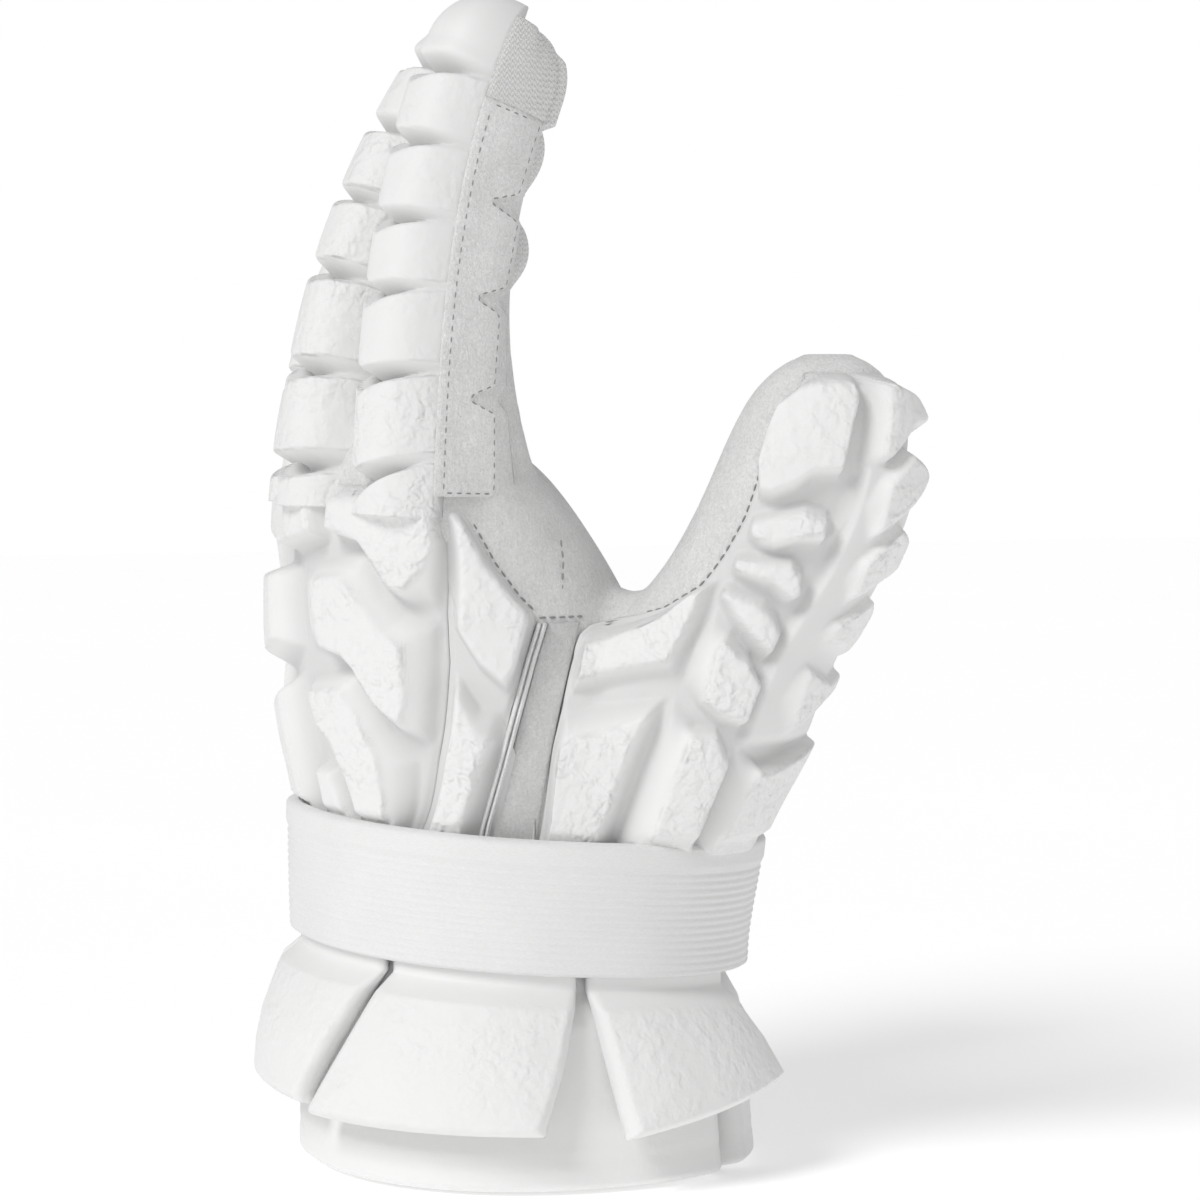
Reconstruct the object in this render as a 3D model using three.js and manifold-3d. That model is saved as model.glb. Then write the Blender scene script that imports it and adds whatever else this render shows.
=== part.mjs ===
// A left-hand lacrosse glove: a soft hollow hand body with separate stalls, moulded foam pads on the
// back of the fingers, thumb and hand, a ribbed wrist strap, and a padded cuff with flared flaps.
// Millimetres. x runs towards the thumb, y towards the palm, z up the fingers from the cuff's rim.
// A turn is an angle in degrees about a section's middle, from x towards y, so -90 is the back.
import * as THREE from "three";
import { mergeVertices } from "three/addons/utils/BufferGeometryUtils.js";
import Module from "manifold-3d";

const wasm = await Module();
wasm.setup();

// Sizes of the soft parts.
const leather = 2;
const seamGap = 0.3;
const bodyHeight = 202;
const bodyWidth = 112;
const bodyDepth = 107;
const bodyFoot = 3;
const bluntness = 2.2;
const thumbHeight = 220;
const thumbWidth = 60;
const thumbDepth = 58;
const thumbFacing = -22;
const webHeight = 157;
const fingerWidth = 26;
const fingerDepth = 26;
const fingerRoot = -0.12;
const palmFullness = 2.5;
const rootFullness = 14;
const rootReach = 0.5;
const tipStart = 0.85;

// Sizes of the moulded foam.
const fingerPadWidth = 27.6;
const fingerPadFoam = 11.5;
const foamRoot = -0.06;
const grooveFloor = 3;
const grooveRamp = 3;
const sheet = 3;
const plainSeat = 1 / 3;
const backFoam = 10;
const sideFoam = 8.5;
const thumbFoam = 8.5;
const blockBevel = 1.2;
const backReach = 12;
const sideReach = 4;
const edgeBow = 0.3;

// Sizes of the strips and patches.
const patchSkin = 1.3;
const gussetSkin = 1.8;
const pipingRise = 3;
const stripSeat = 6;

// Sizes of the strap, the cuff and its flaps.
const strapFoot = 58;
const strapWidth = 36;
const strapSkin = 3;
const strapTilt = 4;
const shellSplit = 0.5;
const palmSplit = 0.62;
const strapHigh = -110;
const tongueSkin = 2.8;
const sleeveHeight = 90;
const sleeveFoam = 9.2;
const sleeveTopSkin = 3.1;
const sleeveSplit = 41;
const sleeveSplitGap = 3;
const flapFoam = 9;

const leatherWhite = { color: 0xf1f1ef, roughness: 0.62, metalness: 0 };
const suedeGrey = { color: 0xd3d3d1, roughness: 0.95, metalness: 0 };
const strapWhite = { color: 0xf3f3f2, roughness: 0.85, metalness: 0 };
const knitGrey = { color: 0xdededc, roughness: 0.95, metalness: 0 };

// Hand body: heights, offsets and half sizes as shares of its height, width and depth.
const bodySections = [
  { at: 0.015, x: 0, y: 0, wide: 0.975, deep: 0.975, twist: 0 },
  { at: 0.15, x: -0.003, y: -0.008, wide: 0.965, deep: 0.965, twist: 0 },
  { at: 0.29, x: -0.006, y: -0.018, wide: 0.955, deep: 0.955, twist: 0 },
  { at: 0.475, x: 0, y: 0, wide: 1, deep: 1, twist: 0 },
  { at: 0.58, x: 0, y: -0.052, wide: 1, deep: 0.97, twist: -1 },
  { at: 0.708, x: 0, y: -0.14, wide: 1, deep: 0.86, twist: -5 },
  { at: 0.83, x: 0.009, y: -0.21, wide: 0.99, deep: 0.735, twist: -9 },
  { at: 0.92, x: 0.009, y: -0.268, wide: 0.965, deep: 0.61, twist: -12 },
  { at: 0.97, x: 0.009, y: -0.31, wide: 0.91, deep: 0.47, twist: -12 },
  { at: 1, x: 0.009, y: -0.335, wide: 0.8, deep: 0.31, twist: -12 },
];

// Thumb: heights as shares of its height, "along" and "out" of the body's width and depth.
const thumbSections = [
  { at: 0.3155, along: 0.241, out: 0.14, wide: 0.58, deep: 0.68 },
  { at: 0.42, along: 0.268, out: 0.15, wide: 0.58, deep: 0.69 },
  { at: 0.482, along: 0.33, out: 0.215, wide: 0.88, deep: 0.98 },
  { at: 0.545, along: 0.366, out: 0.271, wide: 1, deep: 1 },
  { at: 0.645, along: 0.4375, out: 0.346, wide: 1, deep: 0.9 },
  { at: 0.7045, along: 0.518, out: 0.3925, wide: 0.93, deep: 0.79 },
  { at: 0.7545, along: 0.58, out: 0.43, wide: 0.88, deep: 0.707 },
  { at: 0.827, along: 0.643, out: 0.467, wide: 0.83, deep: 0.655 },
  { at: 0.8955, along: 0.681, out: 0.495, wide: 0.757, deep: 0.62 },
  { at: 0.9455, along: 0.702, out: 0.514, wide: 0.65, deep: 0.53 },
  { at: 0.982, along: 0.712, out: 0.523, wide: 0.45, deep: 0.37 },
  { at: 1, along: 0.714, out: 0.525, wide: 0.22, deep: 0.17 },
];

// Thumb foam at its foot stands wider than the hand inside it.
const thumbFoamFoot = [
  { at: 0.382, along: 0.268, out: 0.168, wide: 0.8, deep: 0.93 },
  { at: 0.441, along: 0.304, out: 0.196, wide: 0.867, deep: 1 },
];

// Web of the hand between the index finger's root and the thumb.
const webSections = [
  { at: 0.446, along: 0.125, out: 0.206, wide: 0.7, deep: 0.75 },
  { at: 0.605, along: 0.161, out: 0.262, wide: 0.7, deep: 0.76 },
  { at: 0.764, along: 0.179, out: 0.29, wide: 0.867, deep: 0.862 },
  { at: 0.879, along: 0.196, out: 0.318, wide: 0.767, deep: 0.69 },
  { at: 0.955, along: 0.223, out: 0.318, wide: 0.567, deep: 0.448 },
  { at: 1, along: 0.25, out: 0.318, wide: 0.3, deep: 0.207 },
];

// Fingers: roots as shares of the body's width, depth and height; lengths; the rest in degrees.
// The seam is the turn from the finger's back where its foam ends on the thumb's side.
const fingers = [
  {
    name: "index",
    x: 0.384,
    y: -0.374,
    z: 0.926,
    long: 123,
    lean: 2,
    curl: 24,
    bend: 1.8,
    splay: 1,
    roll: 14,
    seam: 65,
  },
  {
    name: "middle",
    x: 0.127,
    y: -0.467,
    z: 0.936,
    long: 125,
    lean: 1,
    curl: 38,
    bend: 0.9,
    splay: 0,
    roll: 2,
    seam: 90,
  },
  {
    name: "ring",
    x: -0.127,
    y: -0.4,
    z: 0.926,
    long: 115,
    lean: 5,
    curl: 38,
    bend: 0.9,
    splay: -1,
    roll: -12,
    seam: 90,
  },
  {
    name: "little",
    x: -0.375,
    y: -0.3,
    z: 0.89,
    long: 95,
    lean: 8,
    curl: 38,
    bend: 0.9,
    splay: -3,
    roll: -24,
    seam: 90,
  },
];

// Foam blocks along a finger, as shares of its length.
const fingerBlocks = [
  { from: 0.05, to: 0.2 },
  { from: 0.24, to: 0.375 },
  { from: 0.41, to: 0.52 },
  { from: 0.555, to: 0.675 },
  { from: 0.71, to: 0.815 },
];
const tipBlock = { from: 0.86, full: 0.9, end: 1.04 };

// Patches: shares of a finger's length, and turns from its back; the start is past the foam's seam.
const sidePatch = { from: 0, to: 0.8, far: 140, notch: 118, notchWidth: 0.018 };
const sideNotches = [0.215, 0.43, 0.615];
const tipPatch = { from: 0.815, to: 0.975, far: 264 };
const patchStart = 3;

// Sheets of the moulded panels: heights as shares of the hand's, and the turns where each starts and ends.
const backSheet = [
  { at: 0.4752, from: -152, to: -46 },
  { at: 0.5842, from: -152, to: -37 },
  { at: 0.6931, from: -152, to: -27.5 },
  { at: 0.7574, from: -152, to: -23 },
  { at: 0.8218, from: -150, to: -17 },
  { at: 0.8713, from: -140, to: -12.5 },
  { at: 0.896, from: -124, to: -12 },
  { at: 0.9158, from: -98, to: -13 },
];
const radialSheet = [
  { at: 0.4752, from: -44, to: -28 },
  { at: 0.5842, from: -35, to: -15 },
  { at: 0.703, from: -24.5, to: 0 },
  { at: 0.7574, from: -20.5, to: 6.5 },
  { at: 0.7772, from: -18.5, to: 2.5 },
  { at: 0.8069, from: -14, to: -1 },
  { at: 0.8515, from: -9.5, to: -2 },
  { at: 0.896, from: -7.5, to: -3.5 },
];
const ulnarSheet = [
  { at: 0.4752, from: -207, to: -154 },
  { at: 0.5842, from: -207, to: -154 },
  { at: 0.6931, from: -206, to: -154 },
  { at: 0.7921, from: -200, to: -154 },
  { at: 0.8614, from: -180, to: -152.5 },
];

// Blocks on the back of the hand, each from the little finger's side round to the thumb's.
const backBlocks = {
  knuckles: [
    [-50, 0.9059], [-15, 0.901], [-15.5, 0.8663], [-31, 0.802],
    [-36, 0.7772], [-43, 0.8416], [-52, 0.8515],
  ],
  upper: [
    [-78, 0.8119], [-45, 0.8366], [-36, 0.7574], [-26, 0.7426], [-26, 0.7277],
    [-41, 0.5842], [-49, 0.604], [-54, 0.6832], [-76, 0.698],
  ],
  lower: [[-83, 0.6634], [-56, 0.6733], [-49, 0.5792], [-44, 0.5545], [-48, 0.5149], [-84, 0.5149]],
  knucklesFar: [[-98, 0.896], [-56, 0.9059], [-58, 0.8465], [-84, 0.8317], [-102, 0.8416]],
  upperFar: [[-118, 0.8069], [-84, 0.8119], [-84, 0.698], [-108, 0.6634], [-120, 0.7327]],
  lowerFar: [[-112, 0.6386], [-89, 0.6683], [-89, 0.5149], [-114, 0.5149]],
  outerHigh: [[-147, 0.8416], [-106, 0.8762], [-124, 0.7426], [-149, 0.7327]],
  outerLow: [[-149, 0.703], [-126, 0.703], [-117, 0.6238], [-120, 0.5149], [-149, 0.5149]],
};
const radialBlocks = {
  upper: [
    [-7, 0.8812], [-4, 0.8713], [-3, 0.8069], [3, 0.7673],
    [-11, 0.6634], [-18, 0.6881], [-17, 0.7525],
  ],
  lower: [[-26, 0.6832], [-21, 0.6337], [-14, 0.6188], [-28, 0.5248], [-41, 0.5248]],
};
const ulnarBlocks = {
  upper: [[-203, 0.6931], [-196, 0.8069], [-175, 0.8614], [-157, 0.8515], [-157, 0.7129], [-180, 0.6733]],
  lower: [[-204, 0.6535], [-181, 0.6436], [-158, 0.6782], [-158, 0.5248], [-204, 0.5248]],
};

// Thumb foam: heights as shares of the thumb's, turns from its back, and seats as shares of the sheet.
const thumbSheet = [
  { at: 0.4182, from: -54, to: 98, seat: 3 },
  { at: 0.5091, from: -52, to: 108, seat: 2 },
  { at: 0.5818, from: -57, to: 112, seat: 1.333 },
  { at: 0.6409, from: -70, to: 114, seat: 1 },
  { at: 0.6682, from: -76, to: 116, seat: 0.667 },
  { at: 0.6818, from: -53, to: 116, seat: 0.667 },
  { at: 0.7, from: -38, to: 116, seat: 0.667 },
  { at: 0.7273, from: -30, to: 116, seat: 0.667 },
  { at: 0.7636, from: -28, to: 114, seat: 0.667 },
  { at: 0.8091, from: -27, to: 112, seat: 0.667 },
  { at: 0.8636, from: -29, to: 110, seat: 0.667 },
  { at: 0.9136, from: -32, to: 106, seat: 0.667 },
  { at: 0.9455, from: -28, to: 100, seat: 0.667 },
  { at: 0.9659, from: -16, to: 70, seat: 0.667 },
];
const thumbBlocks = {
  webSide: [
    [-70, 0.6591], [-48, 0.6773], [-38, 0.6909], [-28, 0.7227], [-23, 0.7273],
    [-16, 0.6773], [-13, 0.6273], [-25, 0.6227], [-52, 0.6045],
  ],
  cuffSide: [[-51, 0.5818], [-14, 0.5909], [-21, 0.4455], [-50, 0.4455]],
  middle: [[-8, 0.5955], [5, 0.5545], [15, 0.5545], [25, 0.5182], [25, 0.4455], [-3, 0.4455]],
  upper: [[-13, 0.7045], [16, 0.65], [26, 0.6182], [26, 0.5591], [15, 0.5659], [-6, 0.6091]],
  outerLow: [[27, 0.5409], [44, 0.5136], [74, 0.5409], [76, 0.4455], [32, 0.4455]],
  outerHigh: [[31, 0.6136], [31, 0.5636], [51, 0.5364], [78, 0.5727], [72, 0.6364], [48, 0.6636]],
  leftLow: [
    [-16, 0.7136], [-18, 0.7318], [-6, 0.7205], [7, 0.7091],
    [18, 0.6909], [24, 0.6773], [26, 0.6409], [18, 0.6523],
  ],
  leftMiddle: [
    [-20, 0.7455], [-21, 0.7636], [9, 0.7545], [17, 0.7409],
    [23, 0.7091], [17, 0.7045], [5, 0.725], [-14, 0.7386],
  ],
  leftHigh: [
    [-20, 0.7841], [-22, 0.8091], [4, 0.8182], [17, 0.8091],
    [20, 0.775], [8, 0.7773], [-3, 0.7682], [-11, 0.7705],
  ],
  tipLeft: [
    [-20, 0.8364], [-28, 0.8727], [-30, 0.9182], [-27, 0.9455], [-12, 0.9614],
    [12, 0.9614], [19, 0.9318], [18, 0.8591], [3, 0.8545],
  ],
  tipRight: [[24, 0.9591], [55, 0.9455], [68, 0.9], [54, 0.8727], [40, 0.8568], [24, 0.8568]],
  rightHigh: [
    [58, 0.85], [78, 0.8455], [74, 0.8], [59, 0.8],
    [43, 0.7773], [24, 0.7864], [24, 0.8364], [40, 0.8364],
  ],
  rightMiddle: [
    [60, 0.7818], [76, 0.7727], [78, 0.7273], [63, 0.7182],
    [50, 0.7023], [30, 0.7182], [28, 0.7591], [42, 0.7545],
  ],
  rightLow: [[68, 0.7], [84, 0.6909], [84, 0.6455], [70, 0.6273], [46, 0.6841]],
};

// The gusset: heights, and places along the thumb side, as shares of the hand's height and width.
const gussetRows = [
  { at: 0.4802, from: -0.0679, to: 0.0411 },
  { at: 0.5545, from: -0.0304, to: 0.0625 },
  { at: 0.6287, from: 0.0054, to: 0.0893 },
  { at: 0.698, from: 0.0393, to: 0.1179 },
  { at: 0.7327, from: 0.0571, to: 0.1321 },
];
const pipingWidth = 2.6;

// Flaps: the turns of each side at the strap and at the free edge; the free edge's heights as shares of
// the strap's; and how far each flares, as a share of its foam.
const flaps = [
  {
    name: "cuff_flap_thumb",
    topFrom: -55,
    topTo: -6,
    footFrom: -74,
    footTo: -17,
    low: 0.31,
    lowTo: 0.293,
    flare: 0.367,
  },
  {
    name: "cuff_flap_palm",
    topFrom: -4,
    topTo: 44,
    footFrom: 1,
    footTo: 49,
    low: 0.259,
    lowTo: 0.431,
    flare: 0.367,
  },
  {
    name: "cuff_flap_back",
    topFrom: -112,
    topTo: -57,
    footFrom: -124,
    footTo: -77,
    low: 0.362,
    lowTo: 0.345,
    flare: 0.3,
  },
  {
    name: "cuff_flap_outer",
    topFrom: -166,
    topTo: -114,
    footFrom: -178,
    footTo: -127,
    low: 0.345,
    lowTo: 0.345,
    flare: 0.3,
  },
];

const radians = THREE.MathUtils.degToRad;

// A table's column at a share, by a cubic through its rows that never overshoots them.
function columnAt(rows, column, at) {
  const last = rows.length - 1;
  if (at <= rows[0].at) return rows[0][column];
  if (at >= rows[last].at) return rows[last][column];
  const i = rows.findIndex((row) => row.at > at) - 1;
  const slope = (k) => (rows[k + 1][column] - rows[k][column]) / (rows[k + 1].at - rows[k].at);
  const steady = (k) => {
    if (k === 0) return slope(0);
    if (k === last) return slope(last - 1);
    const before = slope(k - 1);
    const after = slope(k);
    return before * after <= 0 ? 0 : (2 * before * after) / (before + after);
  };
  const span = rows[i + 1].at - rows[i].at;
  const t = (at - rows[i].at) / span;
  const a = rows[i][column];
  const b = rows[i + 1][column];
  const da = steady(i) * span;
  const db = steady(i + 1) * span;
  return a + t * (da + t * (3 * (b - a) - 2 * da - db + t * (2 * (a - b) + da + db)));
}

// A point of a blunt ellipse, as fractions of its half sizes.
function bluntPoint(turn) {
  const c = Math.cos(radians(turn));
  const s = Math.sin(radians(turn));
  const reach = (Math.abs(c) ** bluntness + Math.abs(s) ** bluntness) ** (-1 / bluntness);
  return [c * reach, s * reach];
}

function bodyPoint(turn, height, grow = 0) {
  const at = height / bodyHeight;
  const of = (column) => columnAt(bodySections, column, at);
  const [c, s] = bluntPoint(turn);
  const u = ((of("wide") * bodyWidth) / 2 + grow) * c;
  const v = ((of("deep") * bodyDepth) / 2 + grow) * s;
  const twist = radians(of("twist"));
  return new THREE.Vector3(
    of("x") * bodyWidth + u * Math.cos(twist) - v * Math.sin(twist),
    of("y") * bodyDepth + u * Math.sin(twist) + v * Math.cos(twist),
    height,
  );
}

// Directions of the thumb side: out of the glove, and along it towards the palm.
const outward = new THREE.Vector3(Math.cos(radians(thumbFacing)), Math.sin(radians(thumbFacing)), 0);
const alongSide = new THREE.Vector3(-outward.y, outward.x, 0);

function sidePoint(along, out, height) {
  return new THREE.Vector3(0, 0, height).addScaledVector(alongSide, along).addScaledVector(outward, out);
}

// A section of the thumb or the web: its middle and half sizes in the thumb side's directions.
function sideSection(rows, height, tall, grow) {
  const at = height / tall;
  return {
    along: columnAt(rows, "along", at) * bodyWidth,
    out: columnAt(rows, "out", at) * bodyDepth,
    wide: (columnAt(rows, "wide", at) * thumbWidth) / 2 + grow,
    deep: (columnAt(rows, "deep", at) * thumbDepth) / 2 + grow,
  };
}

// Turns here start at the thumb's back and run towards the palm.
function sideTubePoint(rows, tall, turn, height, grow = 0) {
  const section = sideSection(rows, height, tall, grow);
  const [c, s] = bluntPoint(turn);
  return sidePoint(section.along + section.wide * s, section.out + section.deep * c, height);
}

// The larger of two heights, rounded where they cross.
function blend(a, b, reach = 8) {
  const h = THREE.MathUtils.clamp(0.5 + (a - b) / (2 * reach), 0, 1);
  return b + (a - b) * h + reach * h * (1 - h);
}

const outside = -50;

function tubeOut(rows, tall, along, height, grow) {
  const section = sideSection(rows, height, tall, grow);
  if (height > tall || section.wide <= 0) return outside;
  const share = Math.abs(along - section.along) / section.wide;
  return share >= 1 ? outside : section.out + section.deep * (1 - share ** bluntness) ** (1 / bluntness);
}

function bodyOut(along, height, grow) {
  let before = null;
  for (let turn = -115; turn <= 75; turn += 5) {
    const point = bodyPoint(turn, height, grow);
    const here = { along: point.dot(alongSide), out: point.dot(outward) };
    if (before && before.along <= along && here.along >= along) {
      const t = (along - before.along) / (here.along - before.along);
      return before.out + t * (here.out - before.out);
    }
    before = here;
  }
  return outside;
}

const foamSections = [...thumbFoamFoot, ...thumbSections.slice(3)];

// The thumb side's outer face: the thumb, running smoothly into the web and the hand.
function thumbFoamPoint(turn, height, grow = 0) {
  const point = sideTubePoint(foamSections, thumbHeight, turn, height, grow);
  const along = point.dot(alongSide);
  const out = point.dot(outward);
  const hand = blend(bodyOut(along, height, grow), tubeOut(webSections, webHeight, along, height, grow));
  if (hand < outside + 10) return point;
  const share = THREE.MathUtils.clamp((60 - turn) / 40, 0, 1);
  return sidePoint(along, out + (blend(out, hand) - out) * share, height);
}

function flatSidePoint(along, height, grow = 0) {
  const hand = blend(bodyOut(along, height, grow), tubeOut(webSections, webHeight, along, height, grow));
  return sidePoint(along, blend(hand, tubeOut(foamSections, thumbHeight, along, height, grow)), height);
}

// The middle and directions of a finger at a share of its length, which may run past either end.
function fingerFrame(finger, share) {
  const steps = 24;
  const splay = radians(finger.splay);
  const bendAt = (s) => radians(finger.lean + finger.curl * Math.max(s, 0) ** finger.bend);
  const alongAt = (s) => {
    const bend = bendAt(Math.min(s, 1));
    return new THREE.Vector3(Math.sin(splay), Math.sin(bend), Math.cos(bend)).normalize();
  };
  const middle = new THREE.Vector3(finger.x * bodyWidth, finger.y * bodyDepth, finger.z * bodyHeight);
  for (let i = 0; i < steps; i += 1) {
    middle.addScaledVector(alongAt((share * (i + 0.5)) / steps), (share * finger.long) / steps);
  }
  const along = alongAt(share);
  const roll = radians(finger.roll);
  const bend = bendAt(Math.min(share, 1));
  const plainBack = new THREE.Vector3(0, -Math.cos(bend), Math.sin(bend));
  const plainSide = new THREE.Vector3().crossVectors(along, plainBack).normalize();
  const back = plainBack.clone().multiplyScalar(Math.cos(roll)).addScaledVector(plainSide, Math.sin(roll));
  const side = plainSide.clone().multiplyScalar(Math.cos(roll)).addScaledVector(plainBack, -Math.sin(roll));
  return { middle, along, back, side };
}

function fingerNarrowing(share) {
  const taper = 1 - 0.07 * Math.max(share, 0);
  const rounding = Math.max(0, (share - tipStart) / (1 - tipStart));
  return taper * Math.sqrt(Math.max(0, 1 - rounding ** 2.5));
}

// A point of a finger's soft surface. Turns start at its back and run towards the thumb.
function fingerPoint(finger, turn, share, grow = 0) {
  const { middle, back, side } = fingerFrame(finger, share);
  const [c, s] = bluntPoint(turn);
  const narrowing = fingerNarrowing(share);
  const root = rootFullness * Math.max(0, 1 - Math.max(share, 0) / rootReach) ** 2;
  const full = c < 0 ? palmFullness * narrowing + root : 0;
  return middle
    .addScaledVector(side, s * ((fingerWidth / 2) * narrowing + grow))
    .addScaledVector(back, c * ((fingerDepth / 2) * narrowing + full + grow));
}

// A solid from points and triangles, turned to face outwards.
function solidOf(points, faces) {
  const geometry = new THREE.BufferGeometry().setFromPoints(points);
  geometry.setIndex(faces);
  const merged = mergeVertices(geometry, 1e-4);
  const build = (triangles) =>
    new wasm.Manifold(
      new wasm.Mesh({
        numProp: 3,
        vertProperties: merged.attributes.position.array,
        triVerts: triangles,
      }),
    );
  const triangles = new Uint32Array(merged.index.array);
  const made = build(triangles);
  return made.volume() > 0 ? made : build(triangles.reverse());
}

// A closed body through rings of points, with a fan at each end.
function loft(rings) {
  const count = rings[0].length;
  const points = rings.flat();
  const faces = [];
  for (let j = 0; j + 1 < rings.length; j += 1) {
    for (let i = 0; i < count; i += 1) {
      const a = j * count + i;
      const b = j * count + ((i + 1) % count);
      faces.push(a, b, b + count, a, b + count, a + count);
    }
  }
  const middleOf = (ring) => ring.reduce((sum, p) => sum.add(p), new THREE.Vector3()).divideScalar(count);
  const first = points.push(middleOf(rings[0])) - 1;
  const last = points.push(middleOf(rings[rings.length - 1])) - 1;
  const end = (rings.length - 1) * count;
  for (let i = 0; i < count; i += 1) {
    const next = (i + 1) % count;
    faces.push(first, next, i, last, end + i, end + next);
  }
  return solidOf(points, faces);
}

// A closed slab between two grids of points of the same size.
function slab(low, high) {
  const rows = low.length;
  const columns = low[0].length;
  const points = [...low.flat(), ...high.flat()];
  const shift = rows * columns;
  const faces = [];
  const quad = (a, b, c, d) => faces.push(a, b, c, a, c, d);
  for (let j = 0; j + 1 < rows; j += 1) {
    for (let i = 0; i + 1 < columns; i += 1) {
      const a = j * columns + i;
      quad(a, a + columns, a + columns + 1, a + 1);
      quad(shift + a, shift + a + 1, shift + a + columns + 1, shift + a + columns);
    }
    const left = j * columns;
    const right = left + columns - 1;
    quad(left, shift + left, shift + left + columns, left + columns);
    quad(right, right + columns, shift + right + columns, shift + right);
  }
  for (let i = 0; i + 1 < columns; i += 1) {
    const top = (rows - 1) * columns + i;
    quad(i, i + 1, shift + i + 1, shift + i);
    quad(top, shift + top, shift + top + 1, top + 1);
  }
  return solidOf(points, faces);
}

function range(from, to, count) {
  return Array.from({ length: count }, (_, i) => from + ((to - from) * i) / (count - 1));
}

const union = (solids) => solids.reduce((all, one) => all.add(one));

function largest(solid) {
  return solid.decompose().reduce((best, piece) => (piece.volume() > best.volume() ? piece : best));
}

// Millimetres per degree, for turning an outline on a round face into a flat one.
const degreeLength = 0.95;
const blockStep = 22;

function inset(corners, amount) {
  return corners.map((corner, i) => {
    const before = corners[(i + corners.length - 1) % corners.length];
    const after = corners[(i + 1) % corners.length];
    const inwardOf = (a, b) => new THREE.Vector2(a.y - b.y, b.x - a.x).normalize();
    const first = inwardOf(before, corner);
    const second = inwardOf(corner, after);
    const middle = first.clone().add(second).normalize();
    const reach = Math.min(amount / Math.max(middle.dot(first), 0.5), 2 * amount);
    return corner.clone().addScaledVector(middle, reach);
  });
}

// An outline with its edges divided and bowed out a little.
function divided(corners, step) {
  return corners.flatMap((corner, i) => {
    const next = corners[(i + 1) % corners.length];
    const parts = Math.max(1, Math.round(corner.distanceTo(next) / step));
    const outwardOf = new THREE.Vector2(next.y - corner.y, corner.x - next.x).normalize();
    return Array.from({ length: parts }, (_, k) => {
      const share = k / parts;
      return corner.clone().lerp(next, share).addScaledVector(outwardOf, 4 * edgeBow * share * (1 - share));
    });
  });
}

// A block on a round face, from one depth to another, narrowing by a bevel at its top.
function block(face, outline, low, high, bevel) {
  const flat = outline.map(([turn, at]) => new THREE.Vector2(turn * degreeLength, at * face.tall));
  if (THREE.ShapeUtils.isClockWise(flat)) flat.reverse();
  const foot = divided(flat, blockStep);
  const top = bevel > 0 ? inset(foot, bevel) : foot;
  const count = foot.length;
  const place = (corner, grow) => face.pointAt(corner.x / degreeLength, corner.y, grow);
  const points = [...foot.map((c) => place(c, low)), ...top.map((c) => place(c, high))];
  const faces = [];
  for (let i = 0; i < count; i += 1) {
    const next = (i + 1) % count;
    faces.push(i, next, count + next, i, count + next, count + i);
  }
  for (const [a, b, c] of THREE.ShapeUtils.triangulateShape(foot, [])) {
    const upright = THREE.ShapeUtils.area([foot[a], foot[b], foot[c]]) > 0;
    const [p, q, r] = upright ? [a, b, c] : [c, b, a];
    faces.push(count + p, count + q, count + r, r, q, p);
  }
  return solidOf(points, faces);
}

// A sheet over a round face, by rows of heights with their first and last turn.
function sheetOn(face, rows, columns, low, high) {
  const layer = (grow) => rows.map((row) =>
    range(row.from, row.to, columns).map((turn) => face.pointAt(turn, row.at * face.tall, grow(row))));
  return slab(layer(low), layer(high));
}

// A moulded panel: a thin sheet with its foam blocks, kept clear of the soft parts below.
// The blocks' tops follow the round face, so their walls are cut from a sheet of full thickness.
function panel(face, rows, columns, blocks, foam, reach, keepOut) {
  const seat = (row) => -(row.seat ?? plainSeat) * sheet;
  const thin = sheetOn(face, rows, columns, seat, () => sheet);
  const thick = sheetOn(face, rows, columns, seat, () => foam);
  const bevel = (blockBevel * (foam + reach)) / foam;
  const walls = Object.values(blocks).map((corners) => block(face, corners, -sheet, foam + reach, bevel));
  return largest(thin.add(union(walls).intersect(thick)).subtract(keepOut));
}

// What keeps other pieces clear of a panel: its sheet's outline, a little larger, through its full depth.
function panelRoom(face, rows, columns) {
  const room = 3 * seamGap;
  const wider = rows.map((row) => ({
    at: row.at + room / face.tall,
    from: row.from - 2 * room,
    to: row.to + room,
  }));
  return sheetOn(face, wider, columns, () => -2 * sheet, () => 2 * backFoam);
}

// The strap's upper edge is a tilted plane, which the moulded panels stop above.
const strapMiddle = bodyWidth / 2;
const strapLift = (point) => {
  const high = new THREE.Vector3(Math.cos(radians(strapHigh)), Math.sin(radians(strapHigh)), 0);
  return (strapTilt * point.dot(high)) / strapMiddle;
};

function aboveStrap(point) {
  point.z = Math.max(point.z, strapFoot + strapWidth + strapLift(point) + 2 * seamGap);
  return point;
}

const bodySides = 20;
const thumbSides = 14;
const fingerSides = 8;
const allTurns = (count) => range(-180, 180 - 360 / count, count);
const heightsOf = (rows, tall) => rows.map((row) => row.at * tall);

// A grown or shrunk tube's closed end moves with its sides, over the last tenth of its height.
const endShift = (z, tall, grow) => grow * THREE.MathUtils.clamp(10 * (z / tall) - 9, 0, 1);

function bodyTube(grow, foot = bodyFoot) {
  const heights = [foot, ...heightsOf(bodySections, bodyHeight).filter((z) => z > foot + 1)];
  return loft(heights.map((z) => allTurns(bodySides).map((turn) => {
    const point = bodyPoint(turn, z, grow);
    point.z += endShift(z, bodyHeight, grow);
    return point;
  })));
}

function sideTube(rows, tall, grow) {
  const heights = heightsOf(rows, tall);
  return loft(heights.map((z) => allTurns(thumbSides).map((turn) => {
    const point = sideTubePoint(rows, tall, turn, z, grow);
    point.z += endShift(z, tall, grow);
    return point;
  })));
}

const stallShares = [fingerRoot, 0, 0.2, 0.4, 0.62, 0.84, 0.92, 0.97, 0.993];

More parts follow.
